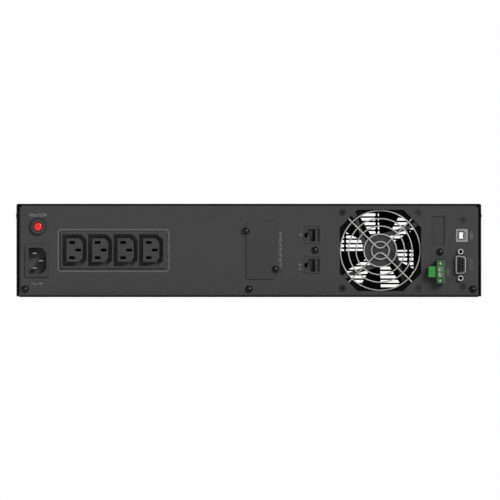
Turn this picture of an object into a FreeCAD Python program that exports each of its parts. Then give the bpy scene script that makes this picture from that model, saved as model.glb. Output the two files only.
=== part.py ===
"""Two-unit rack-mount uninterruptible power supply, built as an assembly of separate pieces.

Millimetres, +Z up. The origin is the centre of the flat underside. The control bezel and the
battery drawer face -Y, the connector panel faces +Y. X is positive towards the battery drawer
side. A place on the front or the rear is written (x, z), an opening (x0, x1, z0, z1).
"""
import FreeCAD, Part
import math
import os
from FreeCAD import Vector

os.makedirs("parts", exist_ok=True)

# ---------------------------------------------------------------- driving dimensions
WIDTH = 438.0           # over the cover's sides
HEIGHT = 88.0           # two rack units, less running clearance
SHEET = 1.2             # sheet steel
REAR = 190.0            # Y of the rear panel's outer face
INNER = REAR - SHEET    # Y of its inner face
FRAME = -190.0          # Y of the steel front frame's outer face
BEZEL_DEPTH = 28.0      # plastic front
FRONT = FRAME - BEZEL_DEPTH   # Y of the plastic front's face
COVER_X = WIDTH / 2     # outer face of the cover's sides
PAN_X = COVER_X - SHEET - 0.1   # outer face of the base pan's sides
PANEL_X = 216.4         # half width of the rear panel and the front frame

# rear panel
FAN = (-123.9, 44.0)
FAN_SIZE = 80.0
FAN_PITCH = 71.5        # screw spacing
FAN_DEPTH = 25.4
FAN_OPENING = 76.6
FAN_CHAMFER = 16.7      # corners of the opening
GUARD_WIRE = 0.6        # radius
BREAKER = (198.6, 66.3)
INLET = (199.6, 34.3)
OUTLET_X = [164.2, 140.1, 116.1, 92.0]
OUTLET_Z = 44.4
OUTLET_FLANGE = (77.6, 177.4, 26.8, 62.2)
OUTLET_BODY = (79.4, 176.4, 28.2, 60.8)
CARD_SLOT = (-11.1, 44.1)
SLOT_COVER_W, SLOT_COVER_H = 27.3, 54.8
SLOT_SCREWS = [(2.8, 62.0), (-25.0, 26.2)]
JACKS = [(-59.4, 58.4), (-59.4, 30.0)]
SURGE_SCREW = (-62.3, 44.2)
SPARE_PORT = (-184.5, -172.6, 49.3, 76.4)
SPARE_SCREW = (-179.9, 42.5)
EPO = (-180.4, 23.9)    # emergency power-off terminal
USB = (-200.6, 58.1)
SERIAL = (-199.5, 30.4)
SERIAL_PITCH = 24.99    # between the jack posts
COMM_SCREWS = [(-201.8, 72.5), (-201.8, 9.9)]
LOW_SCREWS = [(-211.0, 7.4), (0.0, 7.4), (211.0, 7.4)]

# sides: rack bracket holes and cover screws
BRACKET_HOLES = [(y, z) for y in (-172.0, -147.0) for z in (22.0, 66.0)]
COVER_SCREW_Y, COVER_SCREW_Z = (-110.0, 20.0, 170.0), 76.7

# front
THUMBSCREWS = [(46.0, 44.0), (211.9, 44.0)]
BEZEL_SCREWS = [(-206.0, 76.0), (-206.0, 12.0), (30.0, 76.0), (30.0, 12.0),
                (-72.0, 76.0), (-72.0, 12.0)]
FASCIA_SCREWS = [(62.0, 12.0), (62.0, 70.0), (196.6, 12.0), (196.6, 70.0)]
BATTERY_BAY = (50.2, 208.4, 2.95, 78.2)

# spans of the cutting tools
REAR_CUT = (180.0, 195.0)
FRONT_CUT = (FRAME - 1, FRAME + 3)
SIDE_CUTS = [(-222.0, -210.0), (210.0, 222.0)]


# ---------------------------------------------------------------- solids
def box(x0, x1, y0, y1, z0, z1):
    return Part.makeBox(x1 - x0, y1 - y0, z1 - z0, Vector(x0, y0, z0))


def box_y(at, half_x, half_z, y0, y1):
    """Box centred on at = (x, z)."""
    x, z = at
    return box(x - half_x, x + half_x, y0, y1, z - half_z, z + half_z)


def cyl_x(x, y, z, radius, length, sign=1):
    return Part.makeCylinder(radius, length, Vector(x, y, z), Vector(sign, 0, 0))


def cyl_y(at, y, radius, length):
    return Part.makeCylinder(radius, length, Vector(at[0], y, at[1]), Vector(0, 1, 0))


def cyl_z(x, y, z, radius, length):
    return Part.makeCylinder(radius, length, Vector(x, y, z))


def cone_y(at, y, radius0, radius1, length):
    return Part.makeCone(radius0, radius1, length, Vector(at[0], y, at[1]), Vector(0, 1, 0))


def torus_y(at, y, radius, wire):
    return Part.makeTorus(radius, wire, Vector(at[0], y, at[1]), Vector(0, 1, 0))


def fuse(shapes):
    fused = shapes[0].multiFuse(shapes[1:])
    try:
        return fused.removeSplitter()
    except Exception:   # merging coplanar faces can fail; the plain union is then kept
        return fused


def cut(shape, tools):
    return shape.cut(Part.makeCompound(tools))


def unit(start, end):
    """Direction from one 2D point to another."""
    du, dv = end[0] - start[0], end[1] - start[1]
    length = math.hypot(du, dv)
    return du / length, dv / length


def corner_points(before, corner, after):
    """Start, middle and end of a corner's rounding, or the corner itself if it is sharp."""
    u, v = corner[:2]
    radius = corner[2] if len(corner) > 2 else 0.0
    in_u, in_v = unit(before, corner)
    out_u, out_v = unit(corner, after)
    cross = in_u * out_v - in_v * out_u
    if radius <= 1e-6 or abs(cross) < 1e-6:
        return [(u, v)]
    angle = math.atan2(abs(cross), in_u * out_u + in_v * out_v)
    reach = radius * math.tan(angle / 2)
    start = (u - in_u * reach, v - in_v * reach)
    end = (u + out_u * reach, v + out_v * reach)
    turn = math.copysign(radius, cross)
    centre = (start[0] - in_v * turn, start[1] + in_u * turn)
    to_u, to_v = unit(centre, corner)
    return [start, (centre[0] + to_u * radius, centre[1] + to_v * radius), end]


def prism(outline, plane, w0, w1):
    """Extrude the outline (u, v, corner radius) drawn in a plane from level w0 to w1."""
    def point(uv, w=w0):
        u, v = uv
        return {"xz": Vector(u, w, v), "yz": Vector(w, u, v), "xy": Vector(u, v, w)}[plane]

    count = len(outline)
    corners = [corner_points(outline[i - 1], outline[i], outline[(i + 1) % count])
               for i in range(count)]
    edges = []
    for i, corner in enumerate(corners):
        if len(corner) == 3:
            edges.append(Part.Arc(*[point(uv) for uv in corner]).toShape())
        start, end = point(corner[-1]), point(corners[(i + 1) % count][0])
        if start.distanceToPoint(end) > 1e-6:
            edges.append(Part.LineSegment(start, end).toShape())
    return Part.Face(Part.Wire(edges)).extrude(point((0, 0), w1 - w0))


def plate(u0, u1, v0, v1, radius, plane, w0, w1):
    """Rectangular prism with rounded corners."""
    outline = [(u0, v0, radius), (u1, v0, radius), (u1, v1, radius), (u0, v1, radius)]
    return prism(outline, plane, w0, w1)


def plate_y(at, half_x, half_z, radius, y0, y1):
    x, z = at
    return plate(x - half_x, x + half_x, z - half_z, z + half_z, radius, "xz", y0, y1)


def grown(bounds, du, dv):
    u0, u1, v0, v1 = bounds
    return u0 - du, u1 + du, v0 - dv, v1 + dv


def rear_hole(at, radius):
    return cyl_y(at, REAR_CUT[0], radius, REAR_CUT[1] - REAR_CUT[0])


def sheet(path, side, plane, w0, w1, thickness=SHEET):
    """Bent sheet: an open path (u, v, outer bend radius), thickened to its left (side = 1)
    or its right (side = -1)."""
    dirs = [unit(start, end) for start, end in zip(path, path[1:])]
    other = []
    for i, (u, v, radius) in enumerate(path):
        a_u, a_v = dirs[max(i - 1, 0)]
        b_u, b_v = dirs[min(i, len(dirs) - 1)]
        mitre_u, mitre_v = unit((0, 0), ((-a_v - b_v) * side, (a_u + b_u) * side))
        offset = thickness / ((a_u * mitre_v - a_v * mitre_u) * side)
        if radius > 0:
            inside = (a_u * b_v - a_v * b_u) * side > 0
            radius += -thickness if inside else thickness
        other.append((u + mitre_u * offset, v + mitre_v * offset, max(radius, 0.0)))
    return prism(path + other[::-1], plane, w0, w1)


def channel(u0, u1, open_v, web_v, bend, side, plane, w0, w1, thickness=SHEET):
    """U-shaped sheet: a web at web_v and two flanges that reach open_v."""
    path = [(u0, open_v, 0), (u0, web_v, bend), (u1, web_v, bend), (u1, open_v, 0)]
    return sheet(path, side, plane, w0, w1, thickness)


def fillet(shape, radius, test):
    """Fillet the edges that pass the test."""
    edges = [edge for edge in shape.Edges if test(edge)]
    if not edges:
        return shape
    try:
        out = shape.makeFillet(radius, edges)
        if out.isValid() and out.Volume > 0:
            return out
    except Exception:   # the kernel may refuse the set; the edges are then taken singly
        pass
    good = shape
    for edge in edges:
        try:
            for same in good.Edges:
                if same.CenterOfMass.distanceToPoint(edge.CenterOfMass) < 1e-4:
                    out = good.makeFillet(radius, [same])
                    if out.isValid() and out.Volume > 0:
                        good = out
                    break
        except Exception:   # an edge that can't be filleted stays sharp
            pass
    return good


def fillet_y(shape, radius, y):
    """Fillet the edges that lie at the given Y."""
    return fillet(shape, radius, lambda edge: abs(edge.BoundBox.YMin - y) < 1e-3
                  and abs(edge.BoundBox.YMax - y) < 1e-3)


def fillet_z(shape, radius, z):
    return fillet(shape, radius, lambda edge: abs(edge.BoundBox.ZMin - z) < 1e-3
                  and abs(edge.BoundBox.ZMax - z) < 1e-3)


def cable(points, radius):
    """Round cable on a smooth curve through the points."""
    curve = Part.BSplineCurve()
    curve.interpolate([Vector(*point) for point in points])
    tangent = curve.tangent(curve.FirstParameter)[0]
    section = Part.Wire([Part.Circle(Vector(*points[0]), tangent, radius).toShape()])
    return Part.Wire([curve.toShape()]).makePipeShell([section], True, True)


def rod(path, radius):
    """Round rod along a polyline of (x, y, z, bend radius)."""
    points = [Vector(*station[:3]) for station in path]
    edges = []
    last = points[0]
    for i in range(1, len(path)):
        corner, bend = points[i], path[i][3]
        if bend > 0:
            before = (corner - points[i - 1]).normalize()
            after = (points[i + 1] - corner).normalize()
            half_angle = before.getAngle(after) / 2
            reach = bend * math.tan(half_angle)
            start = corner - before * reach
            end = corner + after * reach
            centre = corner + (after - before).normalize() * (bend / math.cos(half_angle))
            middle = centre + (corner - centre).normalize() * bend
            if last.distanceToPoint(start) > 1e-6:
                edges.append(Part.LineSegment(last, start).toShape())
            edges.append(Part.Arc(start, middle, end).toShape())
            last = end
        else:
            edges.append(Part.LineSegment(last, corner).toShape())
            last = corner
    axis = (points[1] - points[0]).normalize()
    section = Part.Wire([Part.Circle(points[0], axis, radius).toShape()])
    return Part.Wire(edges).makePipeShell([section], True, False)


def place(shape, x, y, z, rz=0.0, rx=0.0):
    shape = shape.copy()
    if rx:
        shape.rotate(Vector(0, 0, 0), Vector(1, 0, 0), rx)
    if rz:
        shape.rotate(Vector(0, 0, 0), Vector(0, 0, 1), rz)
    shape.translate(Vector(x, y, z))
    return shape


def place_all(shape, places, y):
    return [place(shape, x, y, z) for x, z in places]


def pan_screw(head_r, head_h, shank_r, shank_l):
    """Domed head from y = 0 towards +Y with a cross recess, shank towards -Y."""
    rim = 0.3
    rise = head_h - rim
    sphere_r = (head_r * head_r + rise * rise) / (2 * rise)
    reach = head_r + 1
    dome = Part.makeSphere(sphere_r, Vector(0, head_h - sphere_r, 0)).common(
        box(-reach, reach, rim, head_h + 1, -reach, reach))
    head = fuse([cyl_y((0, 0), 0, head_r, rim), dome])
    screw = fuse([head, cyl_y((0, 0), -shank_l, shank_r, shank_l)])
    arm, half, depth = head_r * 0.30, head_r * 0.065, head_h * 0.45
    return cut(screw, [box_y((0, 0), arm, half, head_h - depth, head_h + 1),
                       box_y((0, 0), half, arm, head_h - depth, head_h + 1),
                       cone_y((0, 0), head_h - depth * 1.3, head_r * 0.05, head_r * 0.16,
                              depth * 1.3)])


def flat_screw(head_r, head_h, shank_r, shank_l):
    """Countersunk head flush with y = 0, with a cross recess."""
    screw = fuse([cone_y((0, 0), -head_h, shank_r, head_r, head_h),
                  cyl_y((0, 0), -shank_l, shank_r, shank_l - head_h)])
    arm, half, depth = head_r * 0.6, head_r * 0.13, 0.9
    return cut(screw, [box_y((0, 0), arm, half, -depth, 1),
                       box_y((0, 0), half, arm, -depth, 1)])


def power_outline(x, z, width, height, chamfer, radius):
    """Mains connector outline with its two -X corners cut back."""
    right, left, top, low = x + width / 2, x - width / 2, z + height / 2, z - height / 2
    return [(right, low, radius), (right, top, radius), (left + chamfer, top, radius),
            (left, top - chamfer, radius), (left, low + chamfer, radius),
            (left + chamfer, low, radius)]


def serial_outline(width, height, radius):
    """D-subminiature outline on its side: the long side faces +X."""
    x, z = SERIAL
    inset = math.tan(math.radians(10.0)) * width
    right, left, top, low = x + width / 2, x - width / 2, z + height / 2, z - height / 2
    return [(right, low, radius), (right, top, radius),
            (left, top - inset, radius), (left, low + inset, radius)]


PARTS = {}


def add(name, *shapes):
    """Add the solids of the shapes to a node."""
    for shape in shapes:
        for solid in shape.Solids:
            PARTS.setdefault(name, []).append(solid.reversed() if solid.Volume < 0 else solid)


# ================================================================ sheet-metal chassis
def side_holes(x0, screw_radius):
    """Cover screw holes and rack bracket holes through one side."""
    return ([cyl_x(x0, y, COVER_SCREW_Z, screw_radius, 12) for y in COVER_SCREW_Y]
            + [cyl_x(x0, y, z, 2.25, 12) for y, z in BRACKET_HOLES])


# ---- base pan: bottom, two side walls, joggled rear lip that carries the rear panel
pan = channel(-PAN_X, PAN_X, 86.0, 0.0, 2.2, 1, "xz", FRAME + 0.2, 183.0)
lip = sheet([(183.0, 0.0, 0), (REAR, 0.0, 2.6), (REAR, 4.0, 0.3), (INNER - 0.1, 4.45, 0.3),
             (INNER - 0.1, 13.6, 0)], 1, "yz", -PANEL_X, PANEL_X)
fan_relief = FAN_SIZE / 2 + 0.8
lip = cut(lip, [box(-PANEL_X - 1, -PANEL_X + 3.0, 184.0, 191, 4.35, 15),
                box(PANEL_X - 3.0, PANEL_X + 1, 184.0, 191, 4.35, 15),
                box(-207.4, -72.0, 184.0, 191, 4.35, 15),
                box(FAN[0] - fan_relief, FAN[0] + fan_relief, 180.0, REAR - 2.2, 3.4, 15)])
pan = fuse([pan, lip])
pan = cut(pan, [rear_hole(at, 2.0) for at in LOW_SCREWS])
tools = []
for x0, x1 in SIDE_CUTS:
    tools += [plate(y0, y1, 26, 62, 4, "yz", x0, x1) for y0, y1 in ((-126.0, -4.0), (44.0, 150.0))]
    tools += side_holes(x0, 1.55)
add("base_pan", cut(pan, tools))

# ---- top cover: top and both sides, with two groups of louvre slots in each side
cover = channel(-COVER_X, COVER_X, 0.6, HEIGHT, 1.9, -1, "xz", FRAME, REAR)
tools = []
for x0, x1 in SIDE_CUTS:
    for k in range(19):
        for y in (-119.0 + 6.0 * k, 49.0 + 5.35 * k):
            tools.append(plate(y - 1.3, y + 1.3, 30, 58, 1.29, "yz", x0, x1))
    tools += side_holes(x0, 1.75)
add("top_cover", cut(cover, tools))

cover_screw = pan_screw(3.5, 1.3, 1.45, 6.0)
for sign in (1, -1):
    add("cover_screws", *[place(cover_screw, sign * COVER_X, y, COVER_SCREW_Z, rz=-90 * sign)
                          for y in COVER_SCREW_Y])

# ---- clinch nuts for the rack brackets, inside the pan's walls
for sign in (-1, 1):
    wall_x = sign * (PAN_X - SHEET)
    for y, z in BRACKET_HOLES:
        add("clinch_nuts", cut(cyl_x(wall_x, y, z, 4.0, 3.0, -sign),
                               [cyl_x(wall_x + sign, y, z, 2.25, 6, -sign)]))

# ---- rear panel
panel = fuse([channel(-PANEL_X, PANEL_X, 176.5, REAR, 1.9, -1, "xy", 4.5, 84.8),
              sheet([(REAR, 60.0, 0), (REAR, 86.6, 1.9), (178.5, 86.6, 0)], 1,
                    "yz", -PANEL_X + 2.0, PANEL_X - 2.0)])
half_open = FAN_OPENING / 2
flat = half_open - FAN_CHAMFER      # half of each straight side of the fan opening
fan_outline = [(FAN[0] + u, FAN[1] + v, 1.5) for u, v in (
    (-half_open, -flat), (-flat, -half_open), (flat, -half_open), (half_open, -flat),
    (half_open, flat), (flat, half_open), (-flat, half_open), (-half_open, flat))]
half_pitch = FAN_PITCH / 2
FAN_SCREWS = [(FAN[0] + i * half_pitch, FAN[1] + j * half_pitch)
              for i in (-1, 1) for j in (-1, 1)]
SERIAL_POSTS = [(SERIAL[0], SERIAL[1] + s * SERIAL_PITCH / 2) for s in (-1, 1)]
tools = [rear_hole(BREAKER, 6.05),
         plate_y(INLET, 10.1, 14.1, 1, *REAR_CUT),
         plate(*grown(OUTLET_BODY, 0.15, 0.15), 1, "xz", *REAR_CUT),
         plate_y(CARD_SLOT, 11.6, 25.4, 1.5, *REAR_CUT),
         rear_hole(SURGE_SCREW, 1.75),
         prism(fan_outline, "xz", *REAR_CUT),
         plate(*SPARE_PORT, 0.6, "xz", *REAR_CUT),
         rear_hole(SPARE_SCREW, 1.75),
         box_y(EPO, 4.1, 11.2, *REAR_CUT),
         plate_y(USB, 5.85, 6.4, 0.5, *REAR_CUT),
         prism(serial_outline(10.4, 19.2, 2.6), "xz", *REAR_CUT)]
tools += [box_y(at, 7.46, 8.1, *REAR_CUT) for at in JACKS]
for at in FAN_SCREWS + COMM_SCREWS:
    tools += [cone_y(at, REAR - 1.2, 2.3, 3.6, 1.21), rear_hole(at, 2.3)]
for places, radius in ((SLOT_SCREWS, 1.5), (SERIAL_POSTS, 3.0), (LOW_SCREWS, 2.2)):
    tools += [rear_hole(at, radius) for at in places]
add("rear_panel", cut(panel, tools))

low_screw = pan_screw(3.6, 2.3, 1.9, 7.0)
small_screw = pan_screw(3.4, 2.2, 1.45, 7.0)
add("pan_head_screws", *place_all(low_screw, LOW_SCREWS, REAR),
    *place_all(small_screw, [SURGE_SCREW, SPARE_SCREW], REAR))
add("countersunk_screws", *place_all(flat_screw(3.45, 1.15, 2.0, 11.0), FAN_SCREWS, REAR - 0.08),
    *place_all(flat_screw(3.45, 1.15, 1.45, 6.0), COMM_SCREWS, REAR - 0.08))

# ---- front frame: steel panel behind the plastic front
frame = fuse([channel(-PANEL_X, PANEL_X, FRAME + 13, FRAME, 1.9, 1, "xy", 3.4, 84.6),
              sheet([(FRAME, 60, 0), (FRAME, 86.4, 1.9), (FRAME + 12, 86.4, 0)], -1,
                    "yz", -PANEL_X + 2, PANEL_X - 2),
              sheet([(FRAME, 30, 0), (FRAME, 1.35, 1.9), (FRAME + 12, 1.35, 0)], 1,
                    "yz", -PANEL_X + 2, PANEL_X - 2)])
# battery bay, duct opening, ribbon slot
tools = [plate(*BATTERY_BAY, 1.0, "xz", *FRONT_CUT),
         plate(-166.0, -83.0, 6.0, 82.0, 4.0, "xz", *FRONT_CUT),
         plate(-34.0, 14.0, 52.0, 62.0, 2.0, "xz", *FRONT_CUT)]
tools += [cyl_y(at, FRAME - 1, 2.1, 3) for at in THUMBSCREWS]
tools += [cyl_y(at, FRAME - 1, 1.75, 3) for at in BEZEL_SCREWS]
add("front_frame", cut(frame, tools))
for at in THUMBSCREWS:
    add("clinch_nuts", cut(cyl_y(at, FRAME + SHEET, 2.6, 4.0),
                           [cyl_y(at, FRAME + SHEET - 1, 2.05, 6)]))

# ---- air duct walls, from the front grille to the fan, notched round the frame's flanges
notches = [box(-200, -60, -187, -177.6, 0, 2.7), box(-200, -60, -187, -177.6, 84.9, 88)]
vents = [plate(40.0 + 9.0 * k, 45.0 + 9.0 * k, 22, 64, 2.4, "yz", -84, -78) for k in range(11)]
for foot_x, wall_x, side, openings in ((-69.5, -81.2, -1, vents), (-178.0, -166.6, 1, [])):
    wall = sheet([(foot_x, 1.35, 0), (wall_x, 1.35, 1.6), (wall_x, 86.2, 0)], side,
                 "xz", -186.0, 158.0)
    add("duct_walls", cut(wall, notches + openings))

# ================================================================ fan group
# ---- guard: five rings welded to two V-shaped wires with a loop round each screw
x, z = FAN
WIRE_Y = INNER - GUARD_WIRE         # plane of the two bent wires
# each crossing is welded: the rings sink 0.12 mm into the wires
RING_Y = WIRE_Y - 2 * GUARD_WIRE + 0.12
LOOP_R = 2.95
rings = [torus_y(FAN, RING_Y, radius, GUARD_WIRE) for radius in (8.3, 15.4, 22.9, 30.0, 37.6)]
wires = []
reach = half_pitch - LOOP_R / math.sqrt(2)   # where a straight wire meets its screw loop
for s in (1, -1):
    wires.append(rod([(x - reach, WIRE_Y, z + s * reach, 0), (x, WIRE_Y, z, 5.6),
                      (x + reach, WIRE_Y, z + s * reach, 0)], GUARD_WIRE))
    wires += [torus_y((x + side * half_pitch, z + s * half_pitch), WIRE_Y, LOOP_R, GUARD_WIRE)
              for side in (-1, 1)]
add("fan_guard", fuse(rings + wires))

# ---- fan frame: two flanges and a barrel
FAN_Y1 = WIRE_Y - GUARD_WIRE - 0.02     # outer face
FAN_Y0 = FAN_Y1 - FAN_DEPTH
half = FAN_SIZE / 2
housing = fuse([plate_y(FAN, half, half, 4.0, FAN_Y1 - 4.0, FAN_Y1),
                plate_y(FAN, half, half, 4.0, FAN_Y0, FAN_Y0 + 4.0),
                cyl_y(FAN, FAN_Y0, 39.9, FAN_DEPTH)])
housing = cut(housing, [cyl_y(FAN, FAN_Y0 - 1, 38.2, FAN_DEPTH + 2),
                        cone_y(FAN, FAN_Y1 - 2.2, 38.19, 39.2, 2.3)]
              + [cyl_y(at, FAN_Y0 - 1, 2.15, FAN_DEPTH + 2) for at in FAN_SCREWS])
# motor base and four stator arms in a pinwheel, plus the bearing tube
bearing = cut(cyl_y(FAN, FAN_Y0 + 5.5, 4.4, FAN_DEPTH - 11.1),
              [cyl_y(FAN, FAN_Y0 + 5.4, 2.05, FAN_DEPTH - 12.0)])
arms = [cyl_y(FAN, FAN_Y1 - 5.6, 15.9, 3.2)]
for k in range(4):
    tip_angle = math.radians(53.5 + 90.0 * k)
    root_angle = math.radians(9.5 + 90.0 * k)
    cos_tip, sin_tip = math.cos(tip_angle), math.sin(tip_angle)
    tip = (x + 38.9 * cos_tip, z + 38.9 * sin_tip)
    root = (x + 13.6 * math.cos(root_angle), z + 13.6 * math.sin(root_angle))
    along_x, along_z = unit(root, tip)
    outline = [(end[0] - along_z * offset, end[1] + along_x * offset)
               for end, offset in ((root, 2.3), (tip, 1.5), (tip, -1.5), (root, -2.3))]
    arms.append(prism(outline, "xz", FAN_Y1 - 5.2, FAN_Y1 - 2.4))
    # a low pad on the frame's face at each arm's tip: (radius, sideways offset)
    pad = [(x + radius * cos_tip - offset * sin_tip, z + radius * sin_tip + offset * cos_tip)
           for radius, offset in ((39.0, 2.0), (43.4, 2.4), (43.4, -2.4), (39.0, -2.0))]
    arms.append(prism(pad, "xz", FAN_Y1 - 2.0, FAN_Y1 + 0.35))
add("fan_frame", fuse([housing, bearing] + arms))

# ---- rotor: cup, shaft, six blades
HUB_Y0, HUB_Y1 = FAN_Y0 + 1.8, FAN_Y1 - 6.6
hub = fillet_y(cyl_y(FAN, HUB_Y0, 16.0, HUB_Y1 - HUB_Y0), 2.0, HUB_Y0)
hub = cut(hub, [cyl_y(FAN, HUB_Y0 + 2.2, 14.2, 40)])
shaft = cyl_y(FAN, HUB_Y0 + 0.5, 2.0, 16.0)
BLADE_SECTIONS = ((15.0, 12.4, 52.0), (26.5, 18.9, 42.0), (38.6, 25.4, 35.0))  # radius, chord, pitch
BLADE_HALF = 0.75       # half thickness at mid chord
blades = []
for k in range(6):
    angle = math.radians(43.8 + 60.0 * k)
    radial = Vector(math.cos(angle), 0, math.sin(angle))
    tangent = Vector(-math.sin(angle), 0, math.cos(angle))
    sections = []
    for radius, chord, pitch in BLADE_SECTIONS:
        centre = Vector(x, (HUB_Y0 + HUB_Y1) / 2, z) + radial * radius
        pitch = math.radians(pitch)
        chord_end = (tangent * math.cos(pitch) + Vector(0, 1, 0) * math.sin(pitch)) * (chord / 2)
        normal = tangent * (-math.sin(pitch)) + Vector(0, 1, 0) * math.cos(pitch)
        mid, edge = normal * BLADE_HALF, normal * (BLADE_HALF * 0.5)
        points = [centre - chord_end - edge, centre - mid, centre + chord_end - edge,
                  centre + chord_end + edge, centre + mid, centre - chord_end + edge]
        sections.append(Part.makePolygon(points + [points[0]]))
    blades.append(Part.makeLoft(sections, True, True))
sweep = cut(cyl_y(FAN, HUB_Y0 + 0.2, 37.3, HUB_Y1 - HUB_Y0 - 0.3),
            [cyl_y(FAN, HUB_Y0 - 1, 15.4, 40)])
add("fan_rotor", fuse([hub, shaft, fuse(blades).common(sweep)]))

# ---- fan lead: two cores from beside the fan to the board, (x, y, z)
FAN_LEADS = [
    [(-150.0, 159.2, 3.2), (-138.0, 159.2, 3.2), (-112.0, 159.3, 3.4), (-96.0, 159.4, 3.6),
     (-84.0, 159.5, 4.2), (-79.0, 159.5, 5.0), (-75.0, 158.4, 6.6), (-70.0, 155.0, 9.6),
     (-65.4, 150.6, 12.0), (-63.5, 149.0, 11.9)],
    [(-150.0, 159.2, 5.4), (-138.0, 159.2, 5.4), (-112.0, 159.3, 5.6), (-96.0, 159.4, 5.8),
     (-84.0, 160.4, 6.4), (-78.0, 160.6, 7.4), (-74.0, 160.4, 9.2), (-70.0, 158.2, 11.2),
     (-66.0, 154.0, 12.3), (-63.5, 151.6, 11.9)]]
add("chassis_wiring", *[cable(points, 0.95) for points in FAN_LEADS])

# ================================================================ rear connectors
# ---- circuit breaker: bezel nut, body with neck and two tabs, push button
nut = fillet_y(cyl_y(BREAKER, REAR, 7.9, 3.0), 1.6, REAR + 3.0)
nut = cut(nut, [cyl_y(BREAKER, REAR - 1, 6.02, 2.9), cyl_y(BREAKER, REAR - 1, 4.45, 6)])
add("breaker_nut", cut(nut, [cone_y(BREAKER, REAR + 2.7, 4.44, 4.8, 0.31)]))
body = fuse([box_y(BREAKER, 7.5, 13.5, INNER - 33.0, INNER - 0.02),
             cyl_y(BREAKER, INNER - 1, 6.0, 3.0)])
body = fillet(body, 1.2, lambda edge: edge.BoundBox.YLength > 30)
add("breaker_body", cut(body, [cyl_y(BREAKER, INNER - 16, 4.12, 24)]))
x, z = BREAKER
add("breaker_body", *[box_y((x, z + s * 8), 0.4, 3.15, INNER - 43.0, INNER - 33.02)
                      for s in (-1, 1)])
BUTTON_OUT = 4.2        # how far the button stands out of the panel
button = cyl_y(BREAKER, INNER - 8.0, 4.05, 8.0 + SHEET + BUTTON_OUT)
add("breaker_button", fillet_y(button, 1.3, REAR + BUTTON_OUT))

# ---- mains inlet
x, z = INLET
INLET_PINS = [(x + 2.3, z + 7.0), (x + 2.3, z - 7.0), (x - 3.8, z)]
body = fuse([plate_y(INLET, 11.3, 15.7, 1.2, REAR, REAR + 1.8),
             plate_y(INLET, 9.9, 13.9, 0.8, INNER - 20.0, REAR + 0.5)])
body = fillet_y(body, 0.6, REAR + 1.8)
body = cut(body, [prism(power_outline(x - 0.6, z, 16.8, 24.6, 4.6, 0.8),
                        "xz", REAR - 14.5, REAR + 5)])
add("inlet_body", cut(body, [box_y(at, 2.0, 1.0, INNER - 25, REAR - 10) for at in INLET_PINS]))
tip_y, root_y = REAR - 0.2, INNER - 28.0
for x, z in INLET_PINS:
    add("inlet_pins", prism([(root_y, z - 0.98), (tip_y - 2.4, z - 0.98), (tip_y, z - 0.5),
                             (tip_y, z + 0.5), (tip_y - 2.4, z + 0.98), (root_y, z + 0.98)],
                            "yz", x - 1.98, x + 1.98))

# ---- outlet block: four shrouded outlets in one moulding
CONTACTS = [(x + dx, OUTLET_Z + dz) for x in OUTLET_X
            for dx, dz in ((2.3, 7.1), (2.3, -7.2), (-3.45, 0.0))]
block = fillet_y(plate(*OUTLET_FLANGE, 1.2, "xz", REAR, REAR + 2.0), 0.7, REAR + 2.0)
block = fuse([block, plate(*OUTLET_BODY, 0.8, "xz", INNER - 19.0, REAR + 0.6)])
tools = []
for x in OUTLET_X:
    shroud = prism(power_outline(x, OUTLET_Z - 0.1, 22.6, 30.0, 5.2, 0.7),
                   "xz", REAR - 13.0, REAR + 5)
    island = prism(power_outline(x - 0.05, OUTLET_Z - 0.1, 15.2, 22.2, 3.4, 0.6),
                   "xz", REAR - 14.0, REAR + 6)
    tools.append(shroud.cut(island))
tools += [box_y(at, 2.7, 1.35, REAR - 14.0, REAR + 5) for at in CONTACTS]
add("outlet_block", cut(block, tools))
for x, z in CONTACTS:
    add("outlet_contacts", fuse([box_y((x, z + 1.0), 2.2, 0.25, REAR - 13.8, REAR - 6.0),
                                 box_y((x, z - 1.0), 2.2, 0.25, REAR - 13.8, REAR - 6.0),
                                 box_y((x, z), 2.2, 1.25, REAR - 13.98, REAR - 13.4)]))
# bus bars behind the block, each with a post per outlet
BUS_DZ = (10.5, 0.0, -10.5)
for dz in BUS_DZ:
    z = OUTLET_Z + dz
    bar = box(84.0, 171.0, INNER - 22.0, INNER - 20.6, z - 1.5, z + 1.5)
    for x in OUTLET_X:
        bar = bar.fuse(cyl_y((x, z), INNER - 20.7, 1.2, 1.68))
    add("outlet_contacts", bar.removeSplitter())

# ---- card slot cover and cage
cover = fuse([plate_y(CARD_SLOT, SLOT_COVER_W / 2, SLOT_COVER_H / 2, 2.4, REAR, REAR + 1.2)]
             + [cyl_y(at, REAR, 4.7, 1.2) for at in SLOT_SCREWS])
cover = fillet_y(cover, 0.35, REAR + 1.2)
add("slot_cover", cut(cover, [cyl_y(at, REAR - 1, 1.7, 4) for at in SLOT_SCREWS]))
add("pan_head_screws", *place_all(small_screw, SLOT_SCREWS, REAR + 1.2))
x, z = CARD_SLOT
z0, z1 = z - 27.0, z + 27.0
cage = cut(box_y(CARD_SLOT, 13.4, 27.0, 70.0, INNER - 0.05),
           [box_y(CARD_SLOT, 12.4, 26.0, 69.0, REAR)]
           + [plate(84.0 + 22 * k, 98.0 + 22 * k, z - 18, z + 18, 3, "yz", x - 15.4, x + 15.4)
              for k in range(4)]
           + [rear_hole(at, 3.0) for at in SLOT_SCREWS])
guides = [box(x + near, x + far, 72, INNER - 6, low, high)
          for near, far in ((3.0, 4.2), (6.2, 7.4))
          for low, high in ((z0 + 0.9, z0 + 3.6), (z1 - 3.6, z1 - 0.9))]
add("slot_cage", fuse([cage] + guides))

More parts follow.
